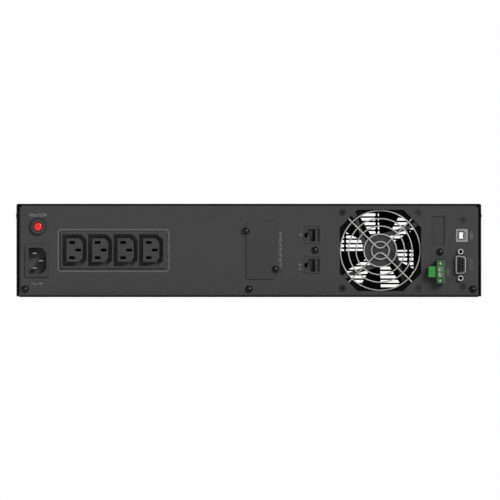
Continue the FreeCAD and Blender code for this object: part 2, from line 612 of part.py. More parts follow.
# ---- network surge jacks, their board and bracket
for x, z in JACKS:
    body = fillet_y(box_y((x, z), 7.4, 7.95, INNER - 17.2, REAR + 0.35), 0.4, REAR + 0.35)
    side = x + 7.4
    latch = [(side - 3.2, z - 2.7), (side - 0.5, z - 1.7), (side - 0.5, z + 1.7),
             (side - 3.2, z + 2.7)]
    add("network_jacks", cut(body, [
        box(side - 11.4, side - 3.9, REAR - 12.0, REAR - 1.6, z - 6.0, z + 6.0),
        box(side - 10.6, side - 3.9, REAR - 1.7, REAR + 3, z - 6.0, z + 6.0),
        box(side - 4.0, side - 3.1, REAR - 12.0, REAR + 3, z - 3.6, z + 3.6),
        prism(latch, "xz", REAR - 12.0, REAR + 3),
        box(side - 14.5, side - 12.2, REAR - 1.9, REAR + 3, z - 6.0, z + 6.0)]))
    # spring contact: distances inwards from the jack's +X side and from the rear face
    spring = [(side - dx, REAR - dy) for dx, dy in (
        (11.3, 11.8), (11.3, 2.1), (10.9, 1.9), (7.9, 9.4), (8.3, 9.8), (10.8, 4.8),
        (10.8, 11.8))]
    for i in range(8):
        mid = z - 3.57 + i * 1.02
        add("network_jack_contacts", prism(spring, "xy", mid - 0.23, mid + 0.23))
x = JACKS[0][0]
z = SURGE_SCREW[1]
add("port_boards", box(x - 9.2, x - 7.6, INNER - 45.0, INNER - 1.0, 14.0, 78.0))
bracket = fuse([box(x - 7.0, x + 3.0, INNER - 1.25, INNER - 0.05, z - 4.2, z + 4.2),
                box(x - 7.55, x - 6.35, INNER - 12.0, INNER - 0.05, z - 4.2, z + 4.2)])
add("port_brackets", cut(bracket, [cyl_y(SURGE_SCREW, INNER - 5, 1.5, 8)]))
add("board_components", *[cyl_x(x - 7.58, INNER - 26, z, 3.6, 7.0) for z in (62, 52, 34, 24)])

# ---- spare port blanking bracket
bracket = fuse([box(-189.0, -168.6, INNER - 1.25, INNER - 0.05, 37.4, 80.5),
                box(-169.8, -168.6, INNER - 24.0, INNER - 0.05, 37.4, 80.5)])
add("port_brackets", cut(bracket, [cyl_y(SPARE_SCREW, INNER - 5, 1.5, 8),
                                   box(-195, -187.6, INNER - 3, INNER + 1, 36, 46)]))

# ---- emergency power-off terminal: header and plug
x, z = EPO
EPO_PINS = [(x, z + s * 2.54) for s in (-1, 1)]
EPO_SCREWS = [(x, z + s * 8.1) for s in (-1, 1)]
header = cut(box_y(EPO, 3.95, 11.0, INNER - 9.0, REAR + 0.6),
             [box_y(EPO, 3.2, 5.3, INNER - 7.0, REAR + 3)])
for pin, screw in zip(EPO_PINS, EPO_SCREWS):
    header = cut(header, [cyl_y(screw, REAR - 6.5, 1.3, 10),
                          box_y(pin, 0.52, 0.52, INNER - 10, INNER - 6)])
add("epo_header", header)
add("network_jack_contacts", *[box_y(pin, 0.5, 0.5, INNER - 14.0, REAR - 1.0)
                               for pin in EPO_PINS])
plug_x = x - 0.1
plug = fuse([box_y((plug_x, z), 3.9, 11.0, REAR + 0.7, REAR + 12.0),
             box(plug_x + 3.8, plug_x + 11.6, REAR + 0.7, REAR + 11.2, z - 5.1, z + 5.1),
             box(plug_x - 2.9, plug_x + 3.1, REAR - 6.5, REAR + 1.0, z - 5.0, z + 5.0)])
plug = fillet_y(plug, 0.35, REAR + 12.0)
plug = fillet_y(plug, 0.35, REAR + 11.2)
tools = [box(plug_x + 3.9, plug_x + 5.1, REAR + 9.6, REAR + 14, z - 6, z + 6)]
for pin, screw in zip(EPO_PINS, EPO_SCREWS):
    tools += [box_y((plug_x + 0.1, pin[1]), 2.0, 1.95, REAR + 3.0, REAR + 14),
              cyl_x(plug_x + 7.8, REAR + 5.9, pin[1], 1.7, 6),
              cyl_y(screw, REAR, 2.05, 14),
              box_y(pin, 0.62, 0.62, REAR - 7, REAR + 2.0)]
tools += [box_y((plug_x - 3.9, z + s * 5.08), 0.3, 0.3, REAR + 2, REAR + 13) for s in (-1, 0, 1)]
add("epo_plug", cut(plug, tools))
# per pole: wire cage, flange screw, clamping screw
for pin, screw in zip(EPO_PINS, EPO_SCREWS):
    at = (plug_x + 0.1, pin[1])
    wire_cage = cut(box_y(at, 1.9, 1.85, REAR + 3.1, REAR + 10.6),
                    [box_y(at, 1.2, 1.25, REAR + 3.7, REAR + 12)])
    flange_screw = fuse([cyl_y(screw, REAR - 5.5, 1.25, 13.0),
                         cyl_y(screw, REAR + 7.4, 1.5, 1.8)])
    flange_screw = cut(flange_screw, [box_y(screw, 3, 0.28, REAR + 8.5, REAR + 12)])
    clamp = cut(cyl_x(plug_x + 7.9, REAR + 5.9, pin[1], 1.6, 3.2),
                [box(plug_x + 10.4, plug_x + 12, REAR + 5.6, REAR + 6.2,
                     pin[1] - 2, pin[1] + 2)])
    add("epo_plug_metal", wire_cage, flange_screw, clamp)
add("port_boards", box(x - 14.0, x + 12.0, INNER - 16.0, INNER - 14.4, 8.0, 36.5))

# ---- USB port
x, z = USB
shell = fillet_y(plate_y(USB, 5.7, 6.25, 0.5, INNER - 15.0, REAR + 0.8), 0.3, REAR + 0.8)
mouth = [(x + dx, z + dz, 0.2) for dx, dz in (
    (4.1, -4.45), (4.1, 4.45), (-2.2, 4.45), (-4.1, 2.9), (-4.1, -2.9), (-2.2, -4.45))]
add("usb_shell", cut(shell, [prism(mouth, "xz", REAR - 9.0, REAR + 3),
                             box_y(USB, 5.1, 5.6, INNER - 15.1, REAR - 8.9)]))
add("usb_insert", fuse([box(x - 1.1, x + 2.3, REAR - 9.3, REAR - 0.4, z - 2.9, z + 2.9),
                        box_y(USB, 5.0, 5.5, INNER - 14.9, REAR - 9.02)]))

# ---- serial port: shell with flange, insert with nine sockets, two jack posts
x, z = SERIAL
shell = fuse([prism(serial_outline(9.9, 18.6, 2.5), "xz", INNER - 1.3, REAR + 4.6),
              plate_y(SERIAL, 6.2, 15.4, 1.5, INNER - 1.3, INNER - 0.5)])
shell = fillet_y(shell, 0.45, REAR + 4.6)
add("serial_shell", cut(shell, [prism(serial_outline(7.6, 16.2, 1.7), "xz", INNER - 3, REAR + 6)]
                        + [cyl_y(at, INNER - 5, 2.15, 8) for at in SERIAL_POSTS]))
insert = fuse([prism(serial_outline(7.5, 16.1, 1.65), "xz", INNER - 1.3, REAR + 4.0),
               box_y(SERIAL, 6.0, 15.2, INNER - 12.0, INNER - 1.32)])
sockets = ([(x + 1.42, z + (i - 2) * 2.77) for i in range(5)]
           + [(x - 1.42, z + (i - 1.5) * 2.77) for i in range(4)])
add("serial_insert", cut(insert, [cyl_y(at, REAR - 3.0, 1.05, 9) for at in sockets]
                         + [cyl_y(at, INNER - 8.0, 2.1, 9) for at in SERIAL_POSTS]))
for at in SERIAL_POSTS:
    hexagon = [(at[0] + 2.85 * math.cos(math.radians(60 * k + 30)),
                at[1] + 2.85 * math.sin(math.radians(60 * k + 30))) for k in range(6)]
    post = prism(hexagon, "xz", INNER - 0.48, REAR + 4.4)
    post = post.common(cone_y(at, INNER - 0.48, 6.0, 2.55, 6.08))
    post = fuse([post, cyl_y(at, INNER - 7.0, 2.0, 7.0)])
    add("serial_jack_posts", cut(post, [cyl_y(at, REAR - 3.6, 1.42, 10),
                                        cone_y(at, REAR + 3.8, 1.42, 2.02, 0.61)]))

# ---- communication board, its two brackets and components
add("port_boards", box(-208.6, -207.0, INNER - 78.0, INNER - 1.6, 6.5, 80.0))
for at in COMM_SCREWS:
    z0, z1 = at[1] - 3.6, at[1] + 3.6
    bracket = fuse([box(-206.9, -196.6, INNER - 1.65, INNER - 0.05, z0, z1),
                    box(-206.9, -205.3, INNER - 11.0, INNER - 0.05, z0, z1)])
    add("port_brackets", cut(bracket, [cyl_y(at, INNER - 7, 1.5, 9)]))
add("board_components", box(-206.98, -205.0, 130.0, 140.0, 34.0, 44.0),
    box(-206.98, -204.8, 144.0, 152.0, 52.0, 58.0),
    box(-206.98, -205.2, 126.0, 134.0, 56.0, 62.0),
    box(-206.98, -198.0, 114.0, 120.0, 20.0, 44.0))

# ================================================================ power electronics
BOARD_Z0, BOARD_Z1 = 9.0, 10.6
ON_BOARD = BOARD_Z1 + 0.05      # underside of the parts that stand on the boards

# ---- two flat boards on standoffs: outline x0, x1, y0, y1, then the mounts' X and Y
BOARDS = [((-66.0, 210.0, 34.0, 152.0), (-60, 70, 204), (40, 146)),
          ((-66.0, 40.0, -150.0, 24.0), (-60, 34), (-144, 18))]
mounts = []
for outline, mount_xs, mount_ys in BOARDS:
    places = [(x, y) for x in mount_xs for y in mount_ys]
    add("power_board", cut(plate(*outline, 2.0, "xy", BOARD_Z0, BOARD_Z1),
                           [cyl_z(x, y, 8, 1.7, 4) for x, y in places]))
    mounts += places
add("standoffs", *[cut(cyl_z(x, y, 1.22, 3.2, 7.76), [cyl_z(x, y, 2, 1.5, 8)])
                   for x, y in mounts])
board_screw = pan_screw(2.8, 1.9, 1.45, 6.0)
add("standoffs", *[place(board_screw, x, y, BOARD_Z1 + 0.02, rx=90) for x, y in mounts])


def heatsink(x0, y0, y1, z1, depth, fins=9):
    """Upright plate with flat fins towards +X."""
    pitch = (z1 - ON_BOARD - 1.6) / (fins - 1)
    levels = [ON_BOARD + pitch * i for i in range(fins)]
    return fuse([box(x0, x0 + 4.0, y0, y1, ON_BOARD, z1)]
                + [box(x0 + 3.9, x0 + depth, y0, y1, z, z + 1.6) for z in levels])


add("heatsinks", heatsink(-63.5, 44.0, 132.0, 78.0, 22.0),
    heatsink(-10.0, -140.0, -20.0, 74.0, 20.0), heatsink(60.0, 52.0, 138.0, 76.0, 22.0))
# transistors on the backs of two heatsinks
for x0, x1, starts in ((54.6, 59.95, (54, 74, 94, 114)),
                       (-15.4, -10.05, (-132, -110, -88, -66, -44))):
    add("board_components", *[box(x0, x1, y, y + 16, 22, 43) for y in starts])

# ---- capacitors: x, y, radius, height, top rounding
CAPACITORS = [(22, 48, 14.0, 46.0, 1.2), (22, 84, 14.0, 46.0, 1.2), (22, 120, 14.0, 46.0, 1.2),
              (192, 54, 10.0, 46.0, 1.2), (-46, -130, 12.0, 40.0, 1.0),
              (-46, -98, 12.0, 40.0, 1.0), (-46, -66, 12.0, 40.0, 1.0)]
for x, y, radius, height, rounding in CAPACITORS:
    can = cyl_z(x, y, ON_BOARD, radius, height)
    add("capacitors", fillet_z(can, rounding, ON_BOARD + height))


# ---- transformers and chokes
def core(x, y, width, depth, height):
    half_w, half_d, top = width / 2, depth / 2, 14.0 + height
    frame = box(x - half_w, x + half_w, y - half_d, y + half_d, 14.0, top)
    window = box(x - half_w + 6, x + half_w - 6, y - half_d - 1, y + half_d + 1, 20.0, top - 6)
    leg = box(x - 5, x + 5, y - half_d, y + half_d, 19.0, top - 5)
    return frame.cut(window).fuse(leg).removeSplitter()


def winding(x, y, width, depth, height):
    half_w, half_d, top = width / 2, depth / 2, 14.0 + height
    coil = plate(x - half_w + 7, x + half_w - 7, y - half_d - 5, y + half_d + 5, 4.0,
                 "xy", 21.0, top - 7)
    return cut(coil, [box(x - 5.1, x + 5.1, y - half_d - 0.1, y + half_d + 0.1, 18.0, top)])


# x, y, width, depth, height
TRANSFORMERS = [(112.0, 74.0, 46.0, 22.0, 44.0), (112.0, 120.0, 40.0, 18.0, 38.0),
                (22.0, -8.0, 30.0, 14.0, 32.0)]
add("transformers", *[core(*size) for size in TRANSFORMERS],
    *[winding(*size) for size in TRANSFORMERS])
add("chokes", *[Part.makeTorus(11.5, 6.2, Vector(x, y, 17.0), Vector(0, 0, 1))
                for x, y in ((163.0, 64.0), (160.0, 101.0), (-36.0, -20.0))])

# ---- relays, and the upright board with its components
add("board_components", *[fillet_z(box(x - 10, x + 10, 136.0, 149.0, ON_BOARD, 26.0), 0.6, 26.0)
                          for x in (112.0, 134.0, 156.0)])
add("port_boards", box(-40.6, -39.0, 40.0, 140.0, 12.0, 78.0))
add("board_components", box(-38.98, -37.0, 70, 84, 40, 54), box(-38.98, -37.4, 100, 110, 30, 38),
    box(-38.98, -37.4, 96, 106, 54, 60), box(-38.98, -31.0, 50, 60, 14, 40))

# ---- mains wiring: per lead its tab, first two Y distances from the panel, first Z shift,
# then the points (x, y, z) down to the board
x, z = BREAKER
MAINS_LEADS = [
    (INLET_PINS[0], 28.5, 36, 0, [(201, 142, 44), (198, 132, 28), (196, 124, 12.6)]),
    (INLET_PINS[1], 28.5, 34, 0, [(205.5, 144, 24), (206, 134, 16), (204, 126, 12.6)]),
    (INLET_PINS[2], 28.5, 36, 0, [(190, 144, 26), (187, 134, 18), (186, 126, 12.6)]),
    ((x, z - 8), 43.5, 50, -1, [(190, 128, 50), (186, 118, 30), (185, 110, 12.6)]),
    ((x, z + 8), 43.5, 50, -1, [(191, 122, 66), (187, 98, 48), (186, 88, 24), (186, 84, 12.6)])]
for (x, z), near, far, drop, points in MAINS_LEADS:
    ends = [(x, INNER - near, z), (x, INNER - far, z + drop)]
    add("chassis_wiring", cable(ends + points, 1.5))
# output leads, from the bus bars to the board
for i, dz in enumerate(BUS_DZ):
    z = OUTLET_Z + dz
    add("chassis_wiring", cable([(86.0 - 1.0 * i, INNER - 23.7, z), (84.0 - 3 * i, INNER - 28, z),
                                 (82.0 - 3.2 * i, 152, OUTLET_Z + dz * 0.4 - 6),
                                 (88.0 - 5 * i, 146 - i, 26 - 3 * i),
                                 (89.0 - 5 * i, 141 - i, 12.7)], 1.4))

# ================================================================ battery drawer
TRAY_X0, TRAY_X1, TRAY_Y0, TRAY_Y1, TRAY_Z = 51.2, 207.4, -187.6, 22.2, 3.4
x0, x1, y0, y1 = TRAY_X0, TRAY_X1, TRAY_Y0, TRAY_Y1
tray = fuse([box(x0, x1, y0, y1, TRAY_Z, TRAY_Z + SHEET),
             box(x0, x0 + SHEET, y0, y1, TRAY_Z, 46.0),
             box(x1 - SHEET, x1, y0, y1, TRAY_Z, 46.0),
             box(x0, x1, y0, y0 + SHEET, TRAY_Z, 76.0),
             box(x0, x1, y1 - SHEET, y1, TRAY_Z, 62.0)])
tools = [cyl_y(at, y0 - 1, 1.75, 4) for at in FASCIA_SCREWS]
tools.append(plate(108.0, 150.0, 24.0, 44.0, 2, "xz", y1 - 3, y1 + 1))
tools += [plate(-160.0 + 46 * k, -130.0 + 46 * k, 16, 34, 5, "yz", x0 - 1, x1 + 1)
          for k in range(4)]
add("battery_tray", cut(tray, tools))

# ---- two batteries whose terminals face each other
BATTERY_W, BATTERY_D, BATTERY_H = 151.0, 94.0, 65.0
BAT_X0 = (x0 + x1) / 2 - BATTERY_W / 2
BAT_X1 = BAT_X0 + BATTERY_W
BAT_Z0 = TRAY_Z + SHEET + 0.02
BAT_Z1 = BAT_Z0 + BATTERY_H
FACE_A = -184.2 + BATTERY_D     # terminal face of the front battery
FACE_B = -73.6                  # terminal face of the rear battery
PLUS_X, MINUS_X = BAT_X0 + 18.0, BAT_X1 - 18.0
TERMINAL_Z = BAT_Z1 - 16.0


def battery(start, seam):
    """Block with a lid seam, a shallow groove all round at Y = seam."""
    block = box(BAT_X0, BAT_X1, start, start + BATTERY_D, BAT_Z0, BAT_Z1)
    block = fillet(block, 2.5, lambda edge: edge.BoundBox.YLength > 80)
    groove = box(BAT_X0 - 1, BAT_X1 + 1, seam - 0.4, seam + 0.4, BAT_Z0 - 1, BAT_Z1 + 1)
    return block.cut(groove.cut(box(BAT_X0 + 0.5, BAT_X1 - 0.5, seam - 1, seam + 1,
                                    BAT_Z0 + 0.5, BAT_Z1 - 0.5)))


def terminal(x, face, side):
    """Foot and flat tab that stands out of the face towards side * Y."""
    foot = sorted((face + side * 0.02, face + side * 1.4))
    tab = sorted((face + side * 1.0, face + side * 7.4))
    return fuse([box_y((x, TERMINAL_Z), 3.15, 3.0, *foot),
                 box_y((x, TERMINAL_Z), 3.15, 0.4, *tab)])


add("batteries", battery(FACE_A - BATTERY_D, FACE_A - 12.0), battery(FACE_B, FACE_B + 12.0))
for x in (PLUS_X, MINUS_X):
    add("batteries", terminal(x, FACE_A, 1), terminal(x, FACE_B, -1))

# ---- leads: series link, positive and negative runs over the top to the rear plug
tab_z, top, run_z = TERMINAL_Z + 2.2, BAT_Z1, BAT_Z1 + 3.3
BATTERY_LEADS = [
    [(MINUS_X, FACE_A + 5.0, tab_z), (MINUS_X - 1, -84.0, TERMINAL_Z + 8),
     (MINUS_X - 6, -81.9, top - 5), (MINUS_X - 20, -81.9, top - 4.0),
     (PLUS_X + 40, -81.9, top - 4), (PLUS_X + 12, -81.9, top - 5),
     (PLUS_X + 3, -80.6, TERMINAL_Z + 6), (PLUS_X, FACE_B - 5.0, tab_z)],
    [(PLUS_X, FACE_A + 4.4, tab_z), (PLUS_X, -86.4, top - 5), (PLUS_X + 0.5, -84.0, top + 0.6),
     (PLUS_X + 2, -77.5, run_z + 1.0), (PLUS_X + 3, -70, run_z + 0.2), (PLUS_X + 6, -56, run_z),
     (PLUS_X + 20, -20, run_z), (117.0, 10, run_z), (118.0, 17.5, run_z + 0.3),
     (119.4, 23.4, top + 1.6), (120.2, 26.0, top - 5.0), (121.0, 26.6, 54.0),
     (121.0, 26.4, 46.0), (121.0, 26.2, 40.8)],
    [(MINUS_X, FACE_B - 4.4, tab_z), (MINUS_X, -78.2, top - 6), (MINUS_X, -78.6, top - 0.5),
     (MINUS_X - 1, -75.8, run_z + 0.2), (MINUS_X - 3, -70, run_z + 0.2),
     (MINUS_X - 8, -40, run_z), (145.0, -5, run_z), (141.0, 10, run_z),
     (140.0, 17.5, run_z + 0.3), (138.6, 23.4, top + 1.6), (137.8, 26.0, top - 5.0),
     (137.0, 26.6, 54.0), (137.0, 26.4, 46.0), (137.0, 26.2, 40.8)]]
add("battery_leads", *[cable(points, 1.6) for points in BATTERY_LEADS])

inset = SHEET + 0.05
for start in (-150.0, -34.0):
    add("battery_straps", channel(x0 + inset, x1 - inset, 40.0, BAT_Z1 + 1.3, 1.6, -1,
                                  "xz", start, start + 16.0, thickness=1.0))

# ---- plug on the tray's rear wall, and its socket on the board
plug = fuse([box(112.0, 146.0, y1 + 0.02, y1 + 8.0, 22.0, 39.0),
             box(116.0, 142.0, y1 + 7.9, y1 + 22.0, 24.5, 36.5),
             box(110.4, 147.6, y1 + 0.02, y1 + 1.6, 20.0, 46.0)])
add("battery_plug", cut(plug, [box(119.0, 127.0, y1 + 12.0, y1 + 23, 27.0, 34.0),
                               box(131.0, 139.0, y1 + 12.0, y1 + 23, 27.0, 34.0)]))
socket = cut(box(111.0, 147.0, y1 + 8.6, y1 + 30.0, 20.5, 40.5),
             [box(115.4, 142.6, y1 + 8, y1 + 25.0, 23.9, 37.1)])
blade_spans = ((120.0, 126.0), (132.0, 138.0))
socket = cut(socket, [box(start, end, y1 + 13.2, y1 + 27.0, 29.6, 31.4)
                      for start, end in blade_spans])
add("battery_socket", fuse([socket, box(111.0, 147.0, y1 + 18.0, y1 + 30.0, ON_BOARD, 20.52)]))
add("network_jack_contacts", *[box(start, end, y1 + 13.2, y1 + 27.0, 29.65, 31.35)
                               for start, end in blade_spans])

# ---- drawer rails: wall X span, foot X span
for wall, foot in (((48.8, 50.0), (48.8, 56.0)), ((208.6, 209.8), (202.0, 209.8))):
    add("drawer_rails", fuse([box(*wall, FRAME + 13.0, 22.0, 2.58, 24.0),
                              box(*foot, FRAME + 13.0, 22.0, 1.22, 3.2)]))

# ================================================================ plastic front
FRONT_Z0, FRONT_Z1 = 0.4, 87.6
JOINT_X = 39.0          # edge of the control bezel beside the battery fascia
LENS = (-56.0, 28.0, 36.0, 79.0)
POWER_KEY = (16.0, 19.0)
KEYS = {"scroll_down_button": (-44.0, 19.0), "enter_button": (-26.0, 19.0),
        "scroll_up_button": (-8.0, 19.0)}
LOUVRE_PITCH_X, LOUVRE_PITCH_Z = 32.0, 4.5
LOUVRE_L, LOUVRE_H = 30.0, 2.7
TOP_ROW_Z, ROWS = 80.1, 17


def front_shell(x0, x1):
    """Front moulding, hollow from behind."""
    outer = plate(x0, x1, FRONT_Z0, FRONT_Z1, 2.0, "xz", FRONT, FRAME - 0.25)
    outer = fillet_y(outer, 1.6, FRONT)
    return outer.cut(plate(x0 + 2.5, x1 - 2.5, FRONT_Z0 + 2.5, FRONT_Z1 - 2.5, 1.0,
                           "xz", FRONT + 2.8, FRAME + 1))


def louvres(centres, rows, length=LOUVRE_L):
    return [plate_y((x, TOP_ROW_Z - LOUVRE_PITCH_Z * row), length / 2, LOUVRE_H / 2, 1.2,
                    FRONT - 1, FRONT + 5) for x in centres for row in rows]


# ---- control bezel: lens surround, collar from the grille to the duct opening, screw posts
collar = plate(-169.0, -79.8, 3.2, 84.8, 3, "xz", FRONT + 2, FRAME - 0.3).cut(
    plate(-167.0, -81.8, 5.0, 83.0, 3, "xz", FRONT, FRAME + 1))
bezel = fuse([front_shell(-COVER_X, JOINT_X),
              plate(*grown(LENS, 3, 3), 3, "xz", FRONT + 1, FRONT + 6)])
bezel = fuse([bezel, collar]
             + [cyl_y(at, FRONT + 2, 4.2, BEZEL_DEPTH - 2.3) for at in BEZEL_SCREWS])
tools = louvres([-81.5, -113.5, -145.6, -177.7], range(ROWS)) + louvres([-203.2], range(ROWS), 16.0)
tools += [plate(*LENS, 3, "xz", FRONT - 1, FRONT + 2.0),
          plate(*grown(LENS, -6, -5), 2, "xz", FRONT - 1, FRONT + 8),
          cyl_y(POWER_KEY, FRONT - 1, 7.18, 6)]
tools += [plate_y(at, 6.2, 3.7, 3.6, FRONT - 1, FRONT + 5) for at in KEYS.values()]
tools += [cyl_y(at, FRAME - 12, 1.4, 14) for at in BEZEL_SCREWS]
add("control_bezel", cut(bezel, tools))
lens = plate(*grown(LENS, -0.15, -0.15), 2.85, "xz", FRONT + 0.1, FRONT + 1.95)
add("display_lens", fillet_y(lens, 0.4, FRONT + 0.1))

# ---- display module, its board and the key switches
board = cut(plate(-60.0, 32.0, 8.6, 84.0, 2, "xz", FRONT + 8.2, FRONT + 9.8),
            [cyl_y((30.0, z), FRONT + 7, 4.5, 5) for z in (76.0, 12.0)])
add("display_board", box(LENS[0] + 8, LENS[1] - 8, FRONT + 3.0, FRONT + 7.4,
                         LENS[2] + 7, LENS[3] - 7), board)
add("display_board", *[box_y(at, 3, 3, FRONT + 4.9, FRONT + 8.18)
                       for at in [*KEYS.values(), POWER_KEY]])

# ---- buttons with retaining rims
button = fuse([cyl_y(POWER_KEY, FRONT - 1.0, 7.1, 3.9), cyl_y(POWER_KEY, FRONT + 2.85, 8.4, 0.6)])
add("power_button", fillet_y(button, 0.8, FRONT - 1.0))
for name, at in KEYS.items():
    key = fuse([plate_y(at, 6.1, 3.6, 3.5, FRONT - 0.8, FRONT + 2.9),
                plate_y(at, 7.4, 4.9, 4.0, FRONT + 2.85, FRONT + 3.45)])
    add(name, fillet_y(key, 0.6, FRONT - 0.8))

front_screw = pan_screw(3.0, 1.8, 1.35, 11.0)
add("standoffs", *place_all(front_screw, BEZEL_SCREWS, FRAME + SHEET))
# flat ribbon from the display board through the frame and down to the front flat board
add("chassis_wiring", sheet([(FRONT + 9.9, 57.0, 0), (FRONT + 24.0, 57.0, 3.0),
                             (FRONT + 26.0, 57.3, 3.0), (FRAME + 34.0, 57.3, 6.0),
                             (FRAME + 46.0, 11.2, 0)], 1, "yz", -30.0, -18.0, thickness=0.6))

# ---- battery fascia with a recess for the drop handle
RECESS = (79.3, 179.3, 27.5, 60.5)
RECESS_Y = FRONT + 12.5
PIVOT_Y, PIVOT_Z = FRONT + 6.4, 55.0
HANDLE_R = 2.6
fascia = fuse([front_shell(JOINT_X + 0.6, COVER_X),
               plate(*grown(RECESS, 2.6, 2.6), 3, "xz", FRONT + 1.0, RECESS_Y + 2.4)]
              + [cyl_y(at, FRONT + 2, 4.2, TRAY_Y0 - FRONT - 2 - 0.02) for at in FASCIA_SCREWS]
              + [cyl_y(at, FRONT + 2, 5.4, BEZEL_DEPTH - 2.3) for at in THUMBSCREWS])
tools = louvres([129.3 + LOUVRE_PITCH_X * k for k in (-2, -1, 0, 1, 2)],
                [*range(0, 4), *range(12, ROWS)])
tools.append(plate(*RECESS, 2.5, "xz", FRONT - 1, RECESS_Y))
tools += [cyl_x(x, PIVOT_Y, PIVOT_Z, HANDLE_R + 0.06, 2.3)
          for x in (RECESS[0] - 2.2, RECESS[1] - 0.1)]
for at in THUMBSCREWS:
    tools += [cyl_y(at, FRONT - 1, 2.05, BEZEL_DEPTH + 3), cyl_y(at, FRONT - 1, 4.9, 4.6)]
tools += [cyl_y(at, FRAME - 10, 1.4, 14) for at in FASCIA_SCREWS]
add("battery_fascia", cut(fascia, tools))
add("fascia_screws", *place_all(front_screw, FASCIA_SCREWS, TRAY_Y0 + SHEET))

left, right, grip_z = RECESS[0], RECESS[1], 32.6
add("drop_handle", rod([(left - 2.0, PIVOT_Y, PIVOT_Z, 0), (left + 5.5, PIVOT_Y, PIVOT_Z, 3.6),
                        (left + 5.5, PIVOT_Y, grip_z, 6.5), (right - 5.5, PIVOT_Y, grip_z, 6.5),
                        (right - 5.5, PIVOT_Y, PIVOT_Z, 3.6),
                        (right + 2.0, PIVOT_Y, PIVOT_Z, 0)], HANDLE_R))


def thumbscrew(at):
    """Knob with 20 grip grooves and a driver slot, on a long shank."""
    knob = fillet_y(cyl_y(at, FRONT - 6.0, 4.6, 9.4), 0.8, FRONT - 6.0)
    angles = [math.radians(18.0 * i) for i in range(20)]
    grooves = [cyl_y((at[0] + 4.75 * math.cos(angle), at[1] + 4.75 * math.sin(angle)),
                     FRONT - 5.0, 0.36, 7.6) for angle in angles]
    knob = cut(knob, grooves + [box_y(at, 5, 0.55, FRONT - 6.5, FRONT - 4.9)])
    return fuse([knob, cyl_y(at, FRONT + 3.3, 1.98, BEZEL_DEPTH - 3.3 + 4.6)])


add("thumbscrew_left", thumbscrew(THUMBSCREWS[0]))
add("thumbscrew_right", thumbscrew(THUMBSCREWS[1]))

# ================================================================ write
for name, solids in PARTS.items():
    shape = Part.makeCompound(solids) if len(solids) > 1 else solids[0]
    shape.exportStep("parts/" + name + ".step")
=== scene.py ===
"""Battery-backed power unit: a flat metal box with outlets, ports and a fan on its rear panel.

The rear panel faces +Y, the control bezel faces -Y and up is +Z, so +X is on the left as seen
from the rear. The CAD pieces are in metres. Printed marks, lenses and leads are in millimetres.
"""
import bpy
import bmesh
import math
import random
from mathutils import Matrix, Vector


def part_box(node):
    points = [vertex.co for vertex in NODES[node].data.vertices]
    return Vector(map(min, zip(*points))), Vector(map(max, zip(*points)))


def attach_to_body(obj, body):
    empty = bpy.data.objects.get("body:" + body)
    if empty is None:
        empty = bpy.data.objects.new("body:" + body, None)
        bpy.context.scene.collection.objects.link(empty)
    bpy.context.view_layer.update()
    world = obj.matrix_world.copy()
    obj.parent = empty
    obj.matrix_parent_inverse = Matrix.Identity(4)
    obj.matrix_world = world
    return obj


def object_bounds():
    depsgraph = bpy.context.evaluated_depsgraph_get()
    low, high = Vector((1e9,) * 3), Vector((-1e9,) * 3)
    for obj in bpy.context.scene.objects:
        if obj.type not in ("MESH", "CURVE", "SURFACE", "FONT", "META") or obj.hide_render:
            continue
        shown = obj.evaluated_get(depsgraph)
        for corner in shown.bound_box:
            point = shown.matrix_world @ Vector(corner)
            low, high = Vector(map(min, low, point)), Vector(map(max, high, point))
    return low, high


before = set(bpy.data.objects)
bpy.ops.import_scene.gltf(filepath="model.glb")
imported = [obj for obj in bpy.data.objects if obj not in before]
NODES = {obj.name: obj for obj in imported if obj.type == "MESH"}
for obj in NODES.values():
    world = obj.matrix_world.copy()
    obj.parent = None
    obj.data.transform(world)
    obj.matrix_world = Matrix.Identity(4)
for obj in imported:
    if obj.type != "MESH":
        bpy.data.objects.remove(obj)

random.seed(7)
CAD_LO, CAD_HI = [Vector(v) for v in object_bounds()]
MM = 0.001                                  # metres in a millimetre
PANEL_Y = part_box("rear_panel")[1].y         # outer face of the rear panel, metres
MATERIALS = {}                              # finish name: material


def mm_box(node):
    """Low and high corners of a piece, in millimetres."""
    low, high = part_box(node)
    return Vector(low) * 1000, Vector(high) * 1000


def centre(node):
    """Middle of a piece in x and z, in millimetres."""
    low, high = mm_box(node)
    return (low.x + high.x) / 2, (low.z + high.z) / 2


def back_mm(node):
    """The +Y limit of a piece, in millimetres."""
    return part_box(node)[1].y * 1000


# ------------------------------------------------------------------ colour and shader helpers
def linear(v):
    """sRGB 0..255 to linear."""
    v = v / 255.0
    return v / 12.92 if v <= 0.04045 else ((v + 0.055) / 1.055) ** 2.4


def rgb(r, g=None, b=None):
    """Linear colour from sRGB 0..255; one value gives a grey."""
    if g is None:
        g = b = r
    return (linear(r), linear(g), linear(b), 1.0)


def shade(colour, factor):
    return (colour[0] * factor, colour[1] * factor, colour[2] * factor, 1.0)


